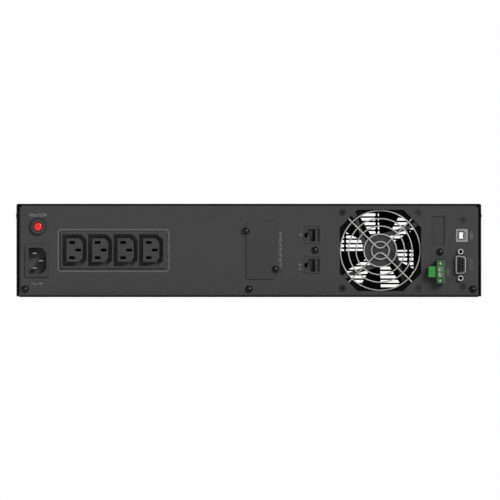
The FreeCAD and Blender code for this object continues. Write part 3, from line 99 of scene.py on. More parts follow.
class Graph:
    """Shader nodes of a material or world. Scales are per metre, distances in metres."""

    def __init__(self, owner, output):
        owner.use_nodes = True
        self.owner = owner
        self.tree = owner.node_tree
        self.tree.nodes.clear()
        self.output = self.node(output)

    def node(self, kind, inputs=None, **settings):
        """Add a node; inputs maps a socket's name or index to a value or an output socket."""
        node = self.tree.nodes.new(kind)
        for key, value in settings.items():
            setattr(node, key, value)
        for key, value in (inputs or {}).items():
            if hasattr(value, "links"):
                self.tree.links.new(value, node.inputs[key])
            else:
                node.inputs[key].default_value = value
        return node

    def surface(self, shader):
        self.tree.links.new(shader.outputs[0], self.output.inputs["Surface"])

    def stretched(self, x, y, z):
        """Coordinates scaled by axis; a small factor draws a texture out along that axis."""
        mapping = self.node("ShaderNodeMapping", {"Scale": (x, y, z), "Vector": self.coords})
        return mapping.outputs["Vector"]

    def noise(self, scale, detail=3.0, rough=0.55, coords=None, distortion=0.0):
        return self.node("ShaderNodeTexNoise", {
            "Scale": scale, "Detail": detail, "Roughness": rough, "Distortion": distortion,
            "Vector": coords or self.coords}).outputs["Fac"]

    def voronoi(self, scale, output="Distance"):
        inputs = {"Scale": scale, "Vector": self.coords}
        return self.node("ShaderNodeTexVoronoi", inputs).outputs[output]

    def wave(self, scale, axis, distortion):
        inputs = {"Scale": scale, "Distortion": distortion, "Vector": self.coords}
        return self.node("ShaderNodeTexWave", inputs, bands_direction=axis).outputs["Fac"]

    def ramp(self, value, start=0.3, end=0.7, low=0.0, high=1.0):
        """Linear map of start..end to low..high, clamped."""
        return self.node("ShaderNodeMapRange", {
            "Value": value, "From Min": start, "From Max": end,
            "To Min": low, "To Max": high}, clamp=True).outputs["Result"]

    def calc(self, operation, *values):
        inputs = dict(enumerate(values))
        return self.node("ShaderNodeMath", inputs, operation=operation).outputs[0]

    def mix(self, factor, a, b):
        return self.node("ShaderNodeMix", {0: factor, 6: a, 7: b}, data_type="RGBA").outputs[2]

    def tones(self, value, colour, at_low, at_high, **span):
        """The colour times at_low to at_high, following value."""
        return self.mix(self.ramp(value, **span), shade(colour, at_low), shade(colour, at_high))

    def axes(self, vector):
        return self.node("ShaderNodeSeparateXYZ", {0: vector}).outputs

    def along(self, axis, start, end):
        """0 at coordinate start, 1 at end, along X, Y or Z."""
        return self.ramp(self.axes(self.coords)["XYZ".index(axis)], start, end)

    def edge(self, radius):
        """Mask that is 1 along edges and 0 on flats, and the rounded normal."""
        bevel = self.node("ShaderNodeBevel", {"Radius": radius}, samples=4)
        flat = self.node("ShaderNodeNewGeometry").outputs["Normal"]
        rounded_normal = bevel.outputs["Normal"]
        dot = self.node("ShaderNodeVectorMath", {0: rounded_normal, 1: flat},
                        operation="DOT_PRODUCT")
        return self.ramp(dot.outputs["Value"], start=0.985, end=0.80), rounded_normal

    def bump(self, height, strength, distance, normal=None):
        inputs = {"Strength": strength, "Distance": distance, "Height": height}
        if normal is not None:
            inputs["Normal"] = normal
        return self.node("ShaderNodeBump", inputs).outputs["Normal"]

    def finish(self, colour, rough, normal, spec=0.5, metallic=0.0, coat=0.0, coat_rough=0.2,
               glow=None):
        """Principled surface; glow is the strength with which it emits its own colour."""
        inputs = {"Base Color": colour, "Roughness": rough, "Metallic": metallic,
                  "Specular IOR Level": spec, "Coat Weight": coat,
                  "Coat Roughness": coat_rough, "Normal": normal}
        if glow is not None:
            inputs.update({"Emission Color": colour, "Emission Strength": glow})
        self.surface(self.node("ShaderNodeBsdfPrincipled", inputs))
        self.owner.diffuse_color = (0.2, 0.2, 0.2, 1)


def new_material(name):
    """Graph of a new material called m_<name>, listed in MATERIALS under name."""
    MATERIALS[name] = bpy.data.materials.new("m_" + name)
    g = Graph(MATERIALS[name], "ShaderNodeOutputMaterial")
    g.coords = g.node("ShaderNodeTexCoord").outputs["Object"]
    return g


# ------------------------------------------------------------------ kinds of finish
def powder_coat(name, colour, rough=0.58, spec=0.16, edge_wear_and_highlight=0.1, bump=0.2, grade=None):
    """Baked powder paint: orange-peel, fine grain, cloudy gloss and lighter edges, partly rubbed
    and partly a painted edge highlight.

    With no edge rubbing and highlight (None) the edges stay sharp, unrubbed and unlit.
    grade = (axis, start, end, factor): a painted light-and-shade gradient; the colour reaches
    that factor at end, in metres.
    """
    g = new_material(name)
    cloud = g.noise(scale=9.0, detail=4.0, rough=0.6)
    grain = g.noise(scale=1500.0, detail=2.0, rough=0.6)
    peel = g.noise(scale=420.0, detail=2.0, rough=0.5)
    tint = g.tones(cloud, colour, at_low=0.975, at_high=1.025)
    if grade:
        tint = g.mix(g.along(*grade[:3]), tint, shade(colour, grade[3]))
    light_specks = g.ramp(grain, start=0.60, end=0.78, high=0.5)
    tint = g.mix(light_specks, tint, shade(colour, factor=1.35))
    dark_specks = g.ramp(grain, start=0.40, end=0.22, high=0.5)
    tint = g.mix(dark_specks, tint, shade(colour, factor=0.72))
    normal = None
    if edge_wear_and_highlight is not None:
        edge, normal = g.edge(radius=0.0006)
        patches = g.noise(scale=260.0, detail=4.0, rough=0.7)
        # lighter edges in patches: rubbing plus a painted edge highlight
        worn_and_lit = g.calc("MULTIPLY", edge, g.ramp(patches, start=0.42, end=0.66, low=0.15))
        tint = g.mix(g.calc("MULTIPLY", worn_and_lit, edge_wear_and_highlight), tint, shade(colour, factor=2.1))
    grain_weight, peel_weight = 0.6, 0.9     # shares of the relief
    height = g.calc("ADD", g.calc("MULTIPLY", grain, grain_weight),
                    g.calc("MULTIPLY", peel, peel_weight))
    normal = g.bump(height, strength=bump, distance=0.00006, normal=normal)
    gloss = g.noise(scale=110.0, detail=3.0, rough=0.5)
    g.finish(tint, g.ramp(gloss, low=rough - 0.02, high=rough + 0.025), normal, spec)


def moulded(name, colour, rough=0.58, spec=0.16, grain=2600.0, flow=0.04, edge_wear_and_highlight=0.1, zone=None):
    """Moulded plastic: spark-eroded grain, faint flow clouding, shinier corners and edges lifted
    lighter, partly rubbed and partly a painted edge highlight.

    flow is the depth of the clouding; with no edge rubbing and highlight (None) the edges stay
    sharp, unrubbed and unlit.
    zone = (axis, start, end, colour at end) blends to a second tone, in metres.
    """
    g = new_material(name)
    pits = g.voronoi(grain)
    cloud = g.noise(scale=26.0, rough=0.5, distortion=1.2)
    tint = g.tones(cloud, colour, at_low=1.0 - flow, at_high=1.0 + flow)
    if zone:
        tint = g.mix(g.along(*zone[:3]), tint, zone[3])
    rough = g.ramp(g.noise(scale=140.0), low=rough - 0.025, high=rough + 0.03)
    normal = None
    if edge_wear_and_highlight is not None:
        edge, normal = g.edge(radius=0.0004)
        # edges lifted lighter: rubbing plus a painted edge highlight
        tint = g.mix(g.calc("MULTIPLY", edge, edge_wear_and_highlight), tint, shade(colour, factor=1.8))
        edge_polish = 0.12                   # roughness lost along edges
        rough = g.calc("SUBTRACT", rough, g.calc("MULTIPLY", edge, edge_polish))
    g.finish(tint, rough, g.bump(pits, strength=0.25, distance=0.00003, normal=normal), spec)


def glossy_plastic(name, colour):
    """Shiny plastic under a thin clear coat, with scratches drawn out along Z."""
    g = new_material(name)
    tint = g.tones(g.noise(scale=160.0), colour, at_low=0.94, at_high=1.06)
    scratches = g.noise(scale=900.0, detail=2.0, rough=0.5,
                        coords=g.stretched(x=1.0, y=1.0, z=0.12))
    g.finish(tint, g.ramp(scratches, start=0.35, low=0.22, high=0.22 + 0.12),
             g.bump(scratches, strength=0.06, distance=0.00002), coat=0.25, coat_rough=0.12)


def plated(name, colour, rough, spangle=300.0, grain=900.0, dull=0.06):
    """Zinc or tin plate: crystal patches, rolling grain along X and handling smears."""
    g = new_material(name)
    crystals = g.node("ShaderNodeSeparateColor", {0: g.voronoi(spangle, "Color")}).outputs[0]
    roll = g.noise(grain, rough=0.6, coords=g.stretched(x=0.06, y=1.0, z=1.0))
    smear = g.noise(scale=22.0, detail=5.0, rough=0.65)
    tint = g.tones(crystals, colour, at_low=1.0 - dull, at_high=1.0,
                   start=0.0, end=1.0, high=0.6)
    tint = g.mix(g.ramp(smear, start=0.48, end=0.75, high=0.45), tint,
                 shade(colour, factor=0.82))
    rough = g.calc("ADD", g.ramp(roll, low=rough - 0.08, high=rough + 0.1),
                   g.ramp(smear, start=0.4, high=0.1))
    normal = g.edge(radius=0.0003)[1]
    g.finish(tint, rough, g.bump(roll, strength=0.12, distance=0.00002, normal=normal),
             metallic=1.0)


def drawn_wire(name, colour):
    g = new_material(name)
    draw = g.noise(scale=1300.0, rough=0.6)
    tint = g.tones(g.noise(scale=130.0, detail=4.0), colour, start=0.35,
                   at_low=1.0, at_high=0.86)
    g.finish(tint, g.ramp(draw, low=0.42 - 0.06, high=0.42 + 0.1),
             g.bump(draw, strength=0.1, distance=0.00002), spec=0.3, metallic=0.3)


def black_oxide(name, colour, rough, spec, rub_and_highlight):
    """Blackened steel screw: oily satin, with edges brightened by rubbing and a painted edge
    highlight, by the given amount.
    """
    g = new_material(name)
    stain = g.noise(scale=900.0, detail=4.0, rough=0.65)
    edge, normal = g.edge(radius=0.00035)
    tint = g.tones(stain, colour, at_low=0.85, at_high=1.2)
    # edges brightened: rubbing plus a painted edge highlight
    tint = g.mix(g.calc("MULTIPLY", edge, rub_and_highlight), tint, shade(colour, factor=2.4))
    g.finish(tint, g.ramp(stain, low=rough - 0.05, high=rough + 0.07),
             g.bump(stain, strength=0.12, distance=0.00002, normal=normal), spec)


def circuit_board(name, colour):
    """Solder mask over tracks that run across X or Y by patches, with bright round pads."""
    g = new_material(name)
    across_x = g.wave(scale=260.0, axis="X", distortion=3.0)
    across_y = g.wave(scale=230.0, axis="Y", distortion=3.5)
    patch = g.ramp(g.noise(scale=40.0, detail=2.0), start=0.49, end=0.51)
    tracks = g.calc("ADD", g.calc("MULTIPLY", across_x, patch),
                    g.calc("MULTIPLY", across_y, g.calc("SUBTRACT", 1.0, patch)))
    line = g.ramp(tracks, start=0.55)
    pad = g.ramp(g.voronoi(scale=240.0), start=0.16, end=0.12)
    pad_colour, pad_metal = (0.52, 0.5, 0.46, 1), 0.9
    tint = g.mix(line, colour, shade(colour, factor=1.7))
    g.finish(g.mix(pad, tint, pad_colour),
             g.ramp(pad, start=0.0, end=1.0, low=0.32, high=0.25),
             g.bump(line, strength=0.3, distance=0.00004),
             metallic=g.calc("MULTIPLY", pad, pad_metal))


def cable_jacket(name, black, red):
    """Vinyl insulation: black or red according to where a lead runs."""
    g = new_material(name)
    side = g.ramp(g.noise(scale=7.0, detail=0.0), start=0.49, end=0.51)
    g.finish(g.mix(side, black, red), g.ramp(g.noise(scale=300.0), low=0.38, high=0.52),
             g.bump(g.noise(scale=700.0), strength=0.1, distance=0.00003), spec=0.4)


def extruded(name, colour):
    """Bare metal with die lines along Y."""
    g = new_material(name)
    die = g.noise(scale=1400.0, detail=2.0, rough=0.6, coords=g.stretched(x=1.0, y=0.02, z=1.0))
    g.finish(g.mix(g.ramp(die), shade(colour, factor=0.88), colour),
             g.ramp(die, low=0.28, high=0.46),
             g.bump(die, strength=0.2, distance=0.00003), metallic=1.0)


def tinted_window(name, dark, light, reflection):
    """Smoked window: a clear grey tint with a soft front reflection."""
    g = new_material(name)
    tint = g.mix(g.ramp(g.noise(scale=24.0)), dark, light)
    clear = g.node("ShaderNodeBsdfTransparent", {"Color": tint})
    blur = g.ramp(g.noise(scale=55.0), low=0.10, high=0.16)
    glossy = g.node("ShaderNodeBsdfGlossy", {"Roughness": blur, "Color": reflection})
    fresnel = g.node("ShaderNodeFresnel", {"IOR": 1.27})
    g.surface(g.node("ShaderNodeMixShader", {
        0: fresnel.outputs[0], 1: clear.outputs[0], 2: glossy.outputs[0]}))


def printed(name, colour):
    """Screen-printed ink with slightly uneven cover."""
    g = new_material(name)
    cover = g.noise(scale=1500.0, rough=0.7)
    g.finish(g.tones(cover, colour, at_low=0.86, at_high=1.06, start=0.35, end=0.65),
             g.ramp(cover, low=0.5, high=0.62),
             g.bump(cover, strength=0.1, distance=0.00002), spec=0.3)


def luminous(name, colour, glow):
    g = new_material(name)
    cloud = g.noise(scale=45.0, detail=2.0)
    g.finish(g.tones(cloud, colour, at_low=0.94, at_high=1.04), 0.35,
             g.bump(cloud, strength=0.05, distance=0.00002), spec=0.4, glow=glow)


# ------------------------------------------------------------------ the finishes
# panel: painted light, the colour lifted towards the bottom to even out the shade there
powder_coat("panel", rgb(56.5, 56.5, 57.3), edge_wear_and_highlight=0.25, grade=("Z", 0.075, 0.005, 1.12))
# cover: painted shade, the rear rim darkened where it meets the panel
powder_coat("cover", rgb(47, 47, 48), rough=0.70, spec=0.06, edge_wear_and_highlight=0.22, bump=0.22,
            grade=("Y", PANEL_Y - 0.008, PANEL_Y - 0.0025, 0.53))
powder_coat("plate", rgb(56, 56, 57))
powder_coat("base_pan", rgb(55, 55, 56))
moulded("fan_frame", rgb(10), rough=0.6, spec=0.03)
moulded("fan_spider", rgb(57, 57, 58))
# outlets: painted light, paler deep in the grooves to lift their shade
moulded("socket", rgb(57, 57, 58), grain=3000.0,
        zone=("Y", PANEL_Y - 0.003, PANEL_Y - 0.009, rgb(110)))
# inlet: painted light, paler deep in the cavity to lift its shade
moulded("inlet", rgb(56, 56, 57), rough=0.6, grain=3000.0,
        zone=("Y", PANEL_Y - 0.001, PANEL_Y - 0.003, rgb(87)))
moulded("jack", rgb(57, 57, 58), grain=3000.0)
moulded("ring_nut", rgb(54, 54, 55))
moulded("port_insert", rgb(52), rough=0.6, spec=0.08)
# near-black: painted shade in the serial holes, post bores and jack notches; also the bezel's
# black inner side
moulded("contact_hole", rgb(4), rough=0.8, spec=0.0, edge_wear_and_highlight=None)
# painted shade on the underside of the base pan's lip
moulded("lip_underside_shade", rgb(16), rough=0.6, spec=0.2, edge_wear_and_highlight=None)
moulded("black_moulding", rgb(16), rough=0.55, spec=0.12, edge_wear_and_highlight=0.15)
# painted light inside the network jack openings, on the shelf and deeper in
moulded("jack_shelf_painted_light", rgb(118), rough=0.7, spec=0.1, grain=3000.0, edge_wear_and_highlight=None)
moulded("jack_deep_painted_light", rgb(140), rough=0.7, spec=0.1, grain=3000.0, edge_wear_and_highlight=None)
# painted light on the seam, lifting the shade in the joggle between the lip and the panel
powder_coat("seam", rgb(104), rough=0.7, spec=0.05, bump=0.22, edge_wear_and_highlight=None)
plated("inlet_pin", (0.30, 0.30, 0.29, 1), rough=0.45)
plated("port_cavity", (0.70, 0.70, 0.69, 1), rough=0.6, dull=0.05)     # spare finish
moulded("fan_blade", rgb(7), rough=0.6, spec=0.04)
moulded("bezel", rgb(36, 36, 37), rough=0.60, spec=0.12, grain=2200.0, edge_wear_and_highlight=0.3)
moulded("keys", rgb(58, 59, 61), rough=0.4, spec=0.4, edge_wear_and_highlight=0.3)
glossy_plastic("red_button", rgb(206, 22, 20))
moulded("green_terminal", rgb(44, 128, 46), rough=0.42, spec=0.35, edge_wear_and_highlight=0.15, flow=0.06,
        zone=("X", -0.1752, -0.1762, rgb(40, 92, 46)))
moulded("white_insert", rgb(236), rough=0.4, spec=0.4, edge_wear_and_highlight=None)
plated("tin_plate", (0.33, 0.33, 0.325, 1), rough=0.42)
plated("port_shell", (0.27, 0.27, 0.268, 1), rough=0.45)
plated("clamp_plate", (0.62, 0.60, 0.58, 1), rough=0.38, dull=0.08)
plated("zinc_sheet", (0.46, 0.47, 0.49, 1), rough=0.44, spangle=55.0, grain=700.0, dull=0.12)
plated("strap", (0.20, 0.20, 0.21, 1), rough=0.52, spangle=90.0, grain=700.0, dull=0.15)
drawn_wire("guard_wire", (0.42, 0.42, 0.41, 1))
black_oxide("black_oxide", rgb(4), rough=0.27, spec=0.36, rub_and_highlight=0.12)
black_oxide("flat_screws", rgb(40), rough=0.55, spec=0.12, rub_and_highlight=0.2)
# painted shade in the recesses of the countersunk screws
black_oxide("screw_recess_shade", rgb(35), rough=0.6, spec=0.05, rub_and_highlight=0.1)
black_oxide("flat_screws_worn", rgb(51), rough=0.55, spec=0.12, rub_and_highlight=0.2)
plated("jack_post", (0.62, 0.62, 0.61, 1), rough=0.42)
plated("contact", (0.72, 0.56, 0.28, 1), rough=0.26, dull=0.08)        # spare finish
# contacts made near-black: painted shade deep in the slots
plated("contact_painted_shade", (0.035, 0.030, 0.022, 1), rough=0.5, dull=0.12)
circuit_board("board", (0.012, 0.075, 0.03, 1))
moulded("components", rgb(40, 40, 44), rough=0.4, spec=0.35, edge_wear_and_highlight=0.2)
extruded("heatsink", (0.72, 0.73, 0.75, 1))
moulded("ferrite", rgb(52, 52, 55), rough=0.7, spec=0.35, grain=1800.0, edge_wear_and_highlight=0.2)
cable_jacket("cable", black=(0.012, 0.012, 0.013, 1), red=(0.35, 0.02, 0.015, 1))
moulded("fan_lead", rgb(14), rough=0.42, spec=0.35, grain=1500.0, edge_wear_and_highlight=None)
moulded("battery", rgb(58, 60, 62), rough=0.5, spec=0.35, edge_wear_and_highlight=0.2)
tinted_window("display_window", dark=(0.70, 0.72, 0.74, 1), light=(0.73, 0.75, 0.77, 1),
              reflection=(0.9, 0.92, 0.95, 1))
printed("screen_print", rgb(89))
printed("print_mark", rgb(110))
# black insulating sheet, matte and without gloss; its near-black also paints the shade inside the
# duct
moulded("duct", rgb(7), rough=0.95, spec=0.0, edge_wear_and_highlight=None)
# painted shade round the breaker nut's outer rim
moulded("nut_rim_shade", rgb(26), rough=0.6, spec=0.1, edge_wear_and_highlight=None)
printed("key_legend", rgb(205))
luminous("lcd_film", (0.24, 0.36, 0.44, 1), glow=1.0)
printed("lcd_segments", rgb(20, 26, 34))
luminous("led_green", (0.05, 0.75, 0.12, 1), glow=0.9)
glossy_plastic("led_off", rgb(120, 110, 70))

# finish: CAD pieces that wear it
FINISHES = {
    "panel": "rear_panel", "cover": "top_cover", "base_pan": "base_pan",
    "plate": "slot_cover port_brackets",
    "zinc_sheet": "front_frame slot_cage clinch_nuts battery_tray drawer_rails",
    "fan_frame": "fan_frame", "fan_blade": "fan_rotor", "guard_wire": "fan_guard",
    "duct": "duct_walls", "strap": "battery_straps", "flat_screws": "countersunk_screws",
    "black_oxide": "cover_screws pan_head_screws fascia_screws thumbscrew_left thumbscrew_right",
    "tin_plate": "standoffs serial_shell", "socket": "outlet_block", "inlet": "inlet_body",
    "black_moulding": "breaker_body battery_plug battery_socket", "ring_nut": "breaker_nut",
    "bezel": "control_bezel battery_fascia",
    "keys": "drop_handle power_button scroll_down_button enter_button scroll_up_button",
    "port_insert": "serial_insert", "jack": "network_jacks", "red_button": "breaker_button",
    "green_terminal": "epo_plug epo_header", "white_insert": "usb_insert",
    "inlet_pin": "inlet_pins", "port_shell": "usb_shell", "jack_post": "serial_jack_posts",
    "clamp_plate": "epo_plug_metal", "contact_painted_shade": "outlet_contacts network_jack_contacts",
    "board": "power_board port_boards display_board",
    "components": "board_components capacitors", "heatsink": "heatsinks",
    "ferrite": "transformers chokes", "cable": "chassis_wiring battery_leads",
    "battery": "batteries", "display_window": "display_lens",
}
FINISH_OF = {node: finish for finish, nodes in FINISHES.items() for node in nodes.split()}
for name, obj in NODES.items():
    obj.data.materials.clear()
    obj.data.materials.append(MATERIALS[FINISH_OF[name]])


# ------------------------------------------------------------------ second tones within a piece
def tone(node, finish, test):
    """Give a second finish to the faces whose centre (mm) and normal pass test(x, y, z, n)."""
    mesh = NODES[node].data
    mesh.materials.append(MATERIALS[finish])
    slot = len(mesh.materials) - 1
    for face in mesh.polygons:
        c = face.center * 1000
        if test(c.x, c.y, c.z, face.normal):
            face.material_index = slot


FAN_X, FAN_Z = centre("fan_frame")
FAN_BACK = mm_box("fan_frame")[1].y
panel_back = back_mm("rear_panel")

# fan: grey motor base and arms, and grey pads at every corner but the low -X one
tone("fan_frame", "fan_spider", lambda x, y, z, n: (
    (math.hypot(x - FAN_X, z - FAN_Z) < 37.6 and y > FAN_BACK - 6.0)
    or (y > FAN_BACK - 0.3 and not (x < FAN_X and z < FAN_Z))))
# base pan: painted shade on the underside of the lip, and painted light on the seam between the
# lip and the panel
tone("base_pan", "lip_underside_shade",
     lambda x, y, z, n: y > panel_back - 3.0 and n.z < -0.10 and z < 1.6)
tone("base_pan", "seam", lambda x, y, z, n: (
    panel_back - 1.35 < y < panel_back - 0.02 and 3.6 < z < 4.9 and n.y > 0.1 and n.z > 0.1))
# bezel: bare black inner side
bezel_back = back_mm("control_bezel")
tone("control_bezel", "contact_hole", lambda x, y, z, n: n.y > 0.5 and y > bezel_back - 27.0)
# network jacks: bands inside the openings, between two distances in from the +X side; painted
# light on the shelf and deeper in, painted shade in the notch
jacks_high = mm_box("network_jacks")[1]
for finish, far, near in (("jack_deep_painted_light", 11.35, 6.6), ("jack_shelf_painted_light", 6.6, 3.15),
                          ("contact_hole", 3.15, 0.45)):
    tone("network_jacks", finish, lambda x, y, z, n: (
        y < jacks_high.y - 0.6 and jacks_high.x - far < x <= jacks_high.x - near))
# square port: painted light, the well around its tongue made white like the insert
usb_x, usb_z = centre("usb_shell")
usb_back = mm_box("usb_shell")[1].y
tone("usb_shell", "white_insert", lambda x, y, z, n: (
    y < usb_back - 0.3 and abs(x - usb_x) < 4.3 and abs(z - usb_z) < 4.6))
# breaker: the neck's outer face matches the ring nut, whose rim gets painted shade
BREAKER_X, BREAKER_Z = centre("breaker_nut")
tone("breaker_body", "ring_nut", lambda x, y, z, n: y > panel_back - 1.0 and n.y > 0.7)
tone("breaker_nut", "nut_rim_shade", lambda x, y, z, n: (
    math.hypot(x - BREAKER_X, z - BREAKER_Z) > 6.3 and n.y < 0.86))
# countersunk screws: a paler group beyond x = -150, painted shade in the recesses of the others
tone("countersunk_screws", "flat_screws_worn", lambda x, y, z, n: x < -150.0)
tone("countersunk_screws", "screw_recess_shade", lambda x, y, z, n: (
    x > -150.0 and panel_back - 1.1 < y < panel_back - 0.12
    and (n.y > 0.9 or abs(n.y) < 0.05)))
# serial port: painted shade in the contact holes and in the bores of the posts above and below it
insert_back = back_mm("serial_insert")
tone("serial_insert", "contact_hole", lambda x, y, z, n: y < insert_back - 0.05)
posts_x, posts_z = centre("serial_jack_posts")
posts_back = mm_box("serial_jack_posts")[1].y
POST_OFFSET = 12.495                        # from the port's centre to a post's
tone("serial_jack_posts", "contact_hole", lambda x, y, z, n: (
    y < posts_back - 0.4 and math.hypot(x - posts_x, abs(z - posts_z) - POST_OFFSET) < 1.5))


# ------------------------------------------------------------------ mesh helpers
def mesh_object(name, verts, faces, finish, smooth=False):
    """Object from vertices in millimetres."""
    mesh = bpy.data.meshes.new(name)
    mesh.from_pydata([Vector(v) * MM for v in verts], [], faces)
    mesh.update()
    obj = bpy.data.objects.new(name, mesh)
    bpy.context.scene.collection.objects.link(obj)
    mesh.materials.append(MATERIALS[finish])
    if smooth:
        for face in mesh.polygons:
            face.use_smooth = True
    return obj


def face_outward(obj):
    bm = bmesh.new()
    bm.from_mesh(obj.data)
    bmesh.ops.recalc_face_normals(bm, faces=bm.faces)
    bm.to_mesh(obj.data)
    bm.free()


def attach(obj, body="chassis"):
    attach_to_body(obj, body)


def arc(x, z, r, start, end, steps=10):
    """Points on a circle from start to end degrees."""
    angles = [math.radians(start + (end - start) * i / steps) for i in range(steps + 1)]
    return [(x + r * math.cos(a), z + r * math.sin(a)) for a in angles]


def rounded(x0, x1, z0, z1, r, steps):
    """Outline of a rectangle with rounded corners."""
    corners = ((x1 - r, z1 - r), (x0 + r, z1 - r), (x0 + r, z0 + r), (x1 - r, z0 + r))
    return [point for k, (x, z) in enumerate(corners)
            for point in arc(x, z, r, 90 * k, 90 * k + 90, steps)]


class Ink:
    """Thin raised ink between two planes of constant y, drawn in (x, z) millimetres."""

    def __init__(self, y0, y1):
        self.y0, self.y1 = y0, y1
        self.verts, self.faces = [], []

    def patch(self, points):
        """Filled outline."""
        n = len(points)
        b = len(self.verts)
        self.verts += [(x, y, z) for y in (self.y0, self.y1) for x, z in points]
        self.faces.append([b + i for i in range(n)])
        self.faces.append([b + n + i for i in reversed(range(n))])
        for i in range(n):
            j = (i + 1) % n
            self.faces.append([b + j, b + i, b + n + i, b + n + j])

    def stroke(self, path, width, closed=False):
        """Line of constant width with mitred corners."""
        n = len(path)
        left, right = [], []
        for i, here in enumerate(path):
            if closed:
                before, after = path[i - 1], path[(i + 1) % n]
            else:
                before, after = path[max(i - 1, 0)], path[min(i + 1, n - 1)]
            arriving = Vector((here[0] - before[0], here[1] - before[1]))
            leaving = Vector((after[0] - here[0], after[1] - here[1]))
            if arriving.length < 1e-9:
                arriving = leaving
            if leaving.length < 1e-9:
                leaving = arriving
            arriving.normalize()
            leaving.normalize()
            along = (arriving + leaving).normalized()
            mitre = 1.0 / max(0.4, along.dot(arriving))
            dx, dz = -along.y * width / 2 * mitre, along.x * width / 2 * mitre
            left.append((here[0] + dx, here[1] + dz))
            right.append((here[0] - dx, here[1] - dz))
        b = len(self.verts)
        for y in (self.y0, self.y1):
            self.verts += [(x, y, z) for x, z in left + right]
        o = 2 * n                           # from a y0 vertex to its y1 twin
        for i in range(n if closed else n - 1):
            j = (i + 1) % n
            self.faces += [
                [b + i, b + j, b + n + j, b + n + i],
                [b + o + j, b + o + i, b + o + n + i, b + o + n + j],
                [b + j, b + i, b + o + i, b + o + j],
                [b + n + i, b + n + j, b + o + n + j, b + o + n + i]]
        if not closed:
            e = b + n - 1
            self.faces.append([b, b + n, b + o + n, b + o])
            self.faces.append([e + n, e, e + o, e + o + n])

    def tick(self, x, z, length, width):
        """Short level line centred on x, z."""
        self.stroke([(x - length / 2, z), (x + length / 2, z)], width)

    def arrow(self, x, z, dx, dz, length, head, width=0.55):
        """Arrow centred on x, z, pointing along the unit direction dx, dz."""
        tail = (x - dx * length / 2, z - dz * length / 2)
        tip = (x + dx * length / 2, z + dz * length / 2)
        self.stroke([tail, tip], width)
        back = (tip[0] - dx * head, tip[1] - dz * head)
        self.stroke([(back[0] - dz * head, back[1] + dx * head),
                     (tip[0] + dx * 0.1, tip[1] + dz * 0.1),
                     (back[0] + dz * head, back[1] - dx * head)], width)

    def make(self, name, finish):
        obj = mesh_object(name, self.verts, self.faces, finish)
        face_outward(obj)
        return obj


# ------------------------------------------------------------------ rear panel print
PRINT_Y = mm_box("rear_panel")[1].y
PRINT_SPAN = (PRINT_Y - 0.02, PRINT_Y + 0.05)   # sunk a little, so no gap shows
outlets_x, outlets_z = centre("outlet_block")
BORDER_X, BORDER_Z = outlets_x - 0.05, outlets_z - 0.5
BORDER_HALF_X, BORDER_HALF_Z, BORDER_R = 52.1, 19.6, 3.0
BORDER_LOW_X = BORDER_X - BORDER_HALF_X


def add_output_border():
    """Rounded frame round the outlets, open in the middle of its -X side."""
    path = [(BORDER_LOW_X, BORDER_Z + 8.6)]
    for side, level, start in ((-1, 1, 180), (1, 1, 90), (1, -1, 360), (-1, -1, 270)):
        path += arc(BORDER_X + side * (BORDER_HALF_X - BORDER_R),
                    BORDER_Z + level * (BORDER_HALF_Z - BORDER_R),
                    BORDER_R, start, start - 90, steps=8)
    path.append((BORDER_LOW_X, BORDER_Z - 11.2))
    border = Ink(*PRINT_SPAN)
    border.stroke(path, 1.25)
    attach(border.make("output_border_print", "screen_print"))


def draw_breaker(ink, x, z):
    """Open switch contact between two leads, with a row of ticks over each lead."""
    ink.stroke([(x + 8.2, z), (x + 3.9, z)], 0.7)
    ink.stroke([(x + 3.3, z + 0.4), (x - 2.5, z + 1.9)], 0.7)
    ink.stroke([(x - 3.9, z), (x - 8.2, z)], 0.7)
    for ring_x in (x + 3.3, x - 3.2):
        ink.stroke(arc(ring_x, z, 0.75, 0, 345, steps=12), 0.55)
    ink.stroke([(x + 2.0, z - 0.3), (x - 1.8, z - 0.3)], 0.5)
    for i in range(5):
        for tick_x in (x + 7.9 - i, x - 3.9 - i):
            ink.stroke([(tick_x, z + 0.9), (tick_x, z + 2.3)], 0.5)


def draw_inlet(ink, x, z):
    """Alternating-current wave with an arrow towards -X."""
    ink.stroke([(x + 5.0 - 0.6 * i, z + math.sin(i * math.pi / 3.5)) for i in range(8)], 0.6)
    ink.arrow(x - 2.6, z, -1.0, 0.0, length=4.8, head=1.2)


def draw_outlets(ink, x, z):
    """Wave and downward arrow set in the border's gap."""
    ink.stroke([(x + 0.95 * math.sin(i * math.pi / 3.5), z + 7.4 - 0.8 * i)
                for i in range(15)], 0.6)
    ink.arrow(x, z - 7.2, 0.0, -1.0, length=5.6, head=1.1)


def draw_slot_scale(ink, x, top):
    """Ticks in groups of four, in a repeating run of lengths and sideways shifts."""
    ticks = ((2.8, 0.0), (1.7, 0.4), (2.3, 0.2), (1.4, -0.5), (2.6, 0.0), (1.7, -0.4), (2.2, 0.3))
    pitch, group_pitch = 1.0, 4.9
    for k in range(28):
        length, shift = ticks[k % len(ticks)]
        ink.tick(x + shift, top - group_pitch * (k // 4) - pitch * (k % 4), length, 0.52)


def draw_network(ink, x):
    """An arrow each way, and a pair of ticks below."""
    ink.arrow(x, 58.8, -1.0, 0.0, length=2.8, head=1.3, width=0.6)
    ink.arrow(x, 30.6, 1.0, 0.0, length=2.8, head=1.3, width=0.6)
    for z in (26.0, 27.3):
        ink.tick(x, z, 2.4, 0.55)


def draw_emergency_off(ink, x, z):
    """Broken ring with a bar, between pairs of ticks."""
    ink.stroke(arc(x, z, 1.1, 120, 420, steps=20), 0.5)
    ink.stroke([(x, z + 0.2), (x, z + 1.8)], 0.5)
    for dz in (-3.5, -2.4, 2.6, 3.5):
        ink.tick(x, z + dz, 1.8, 0.45)


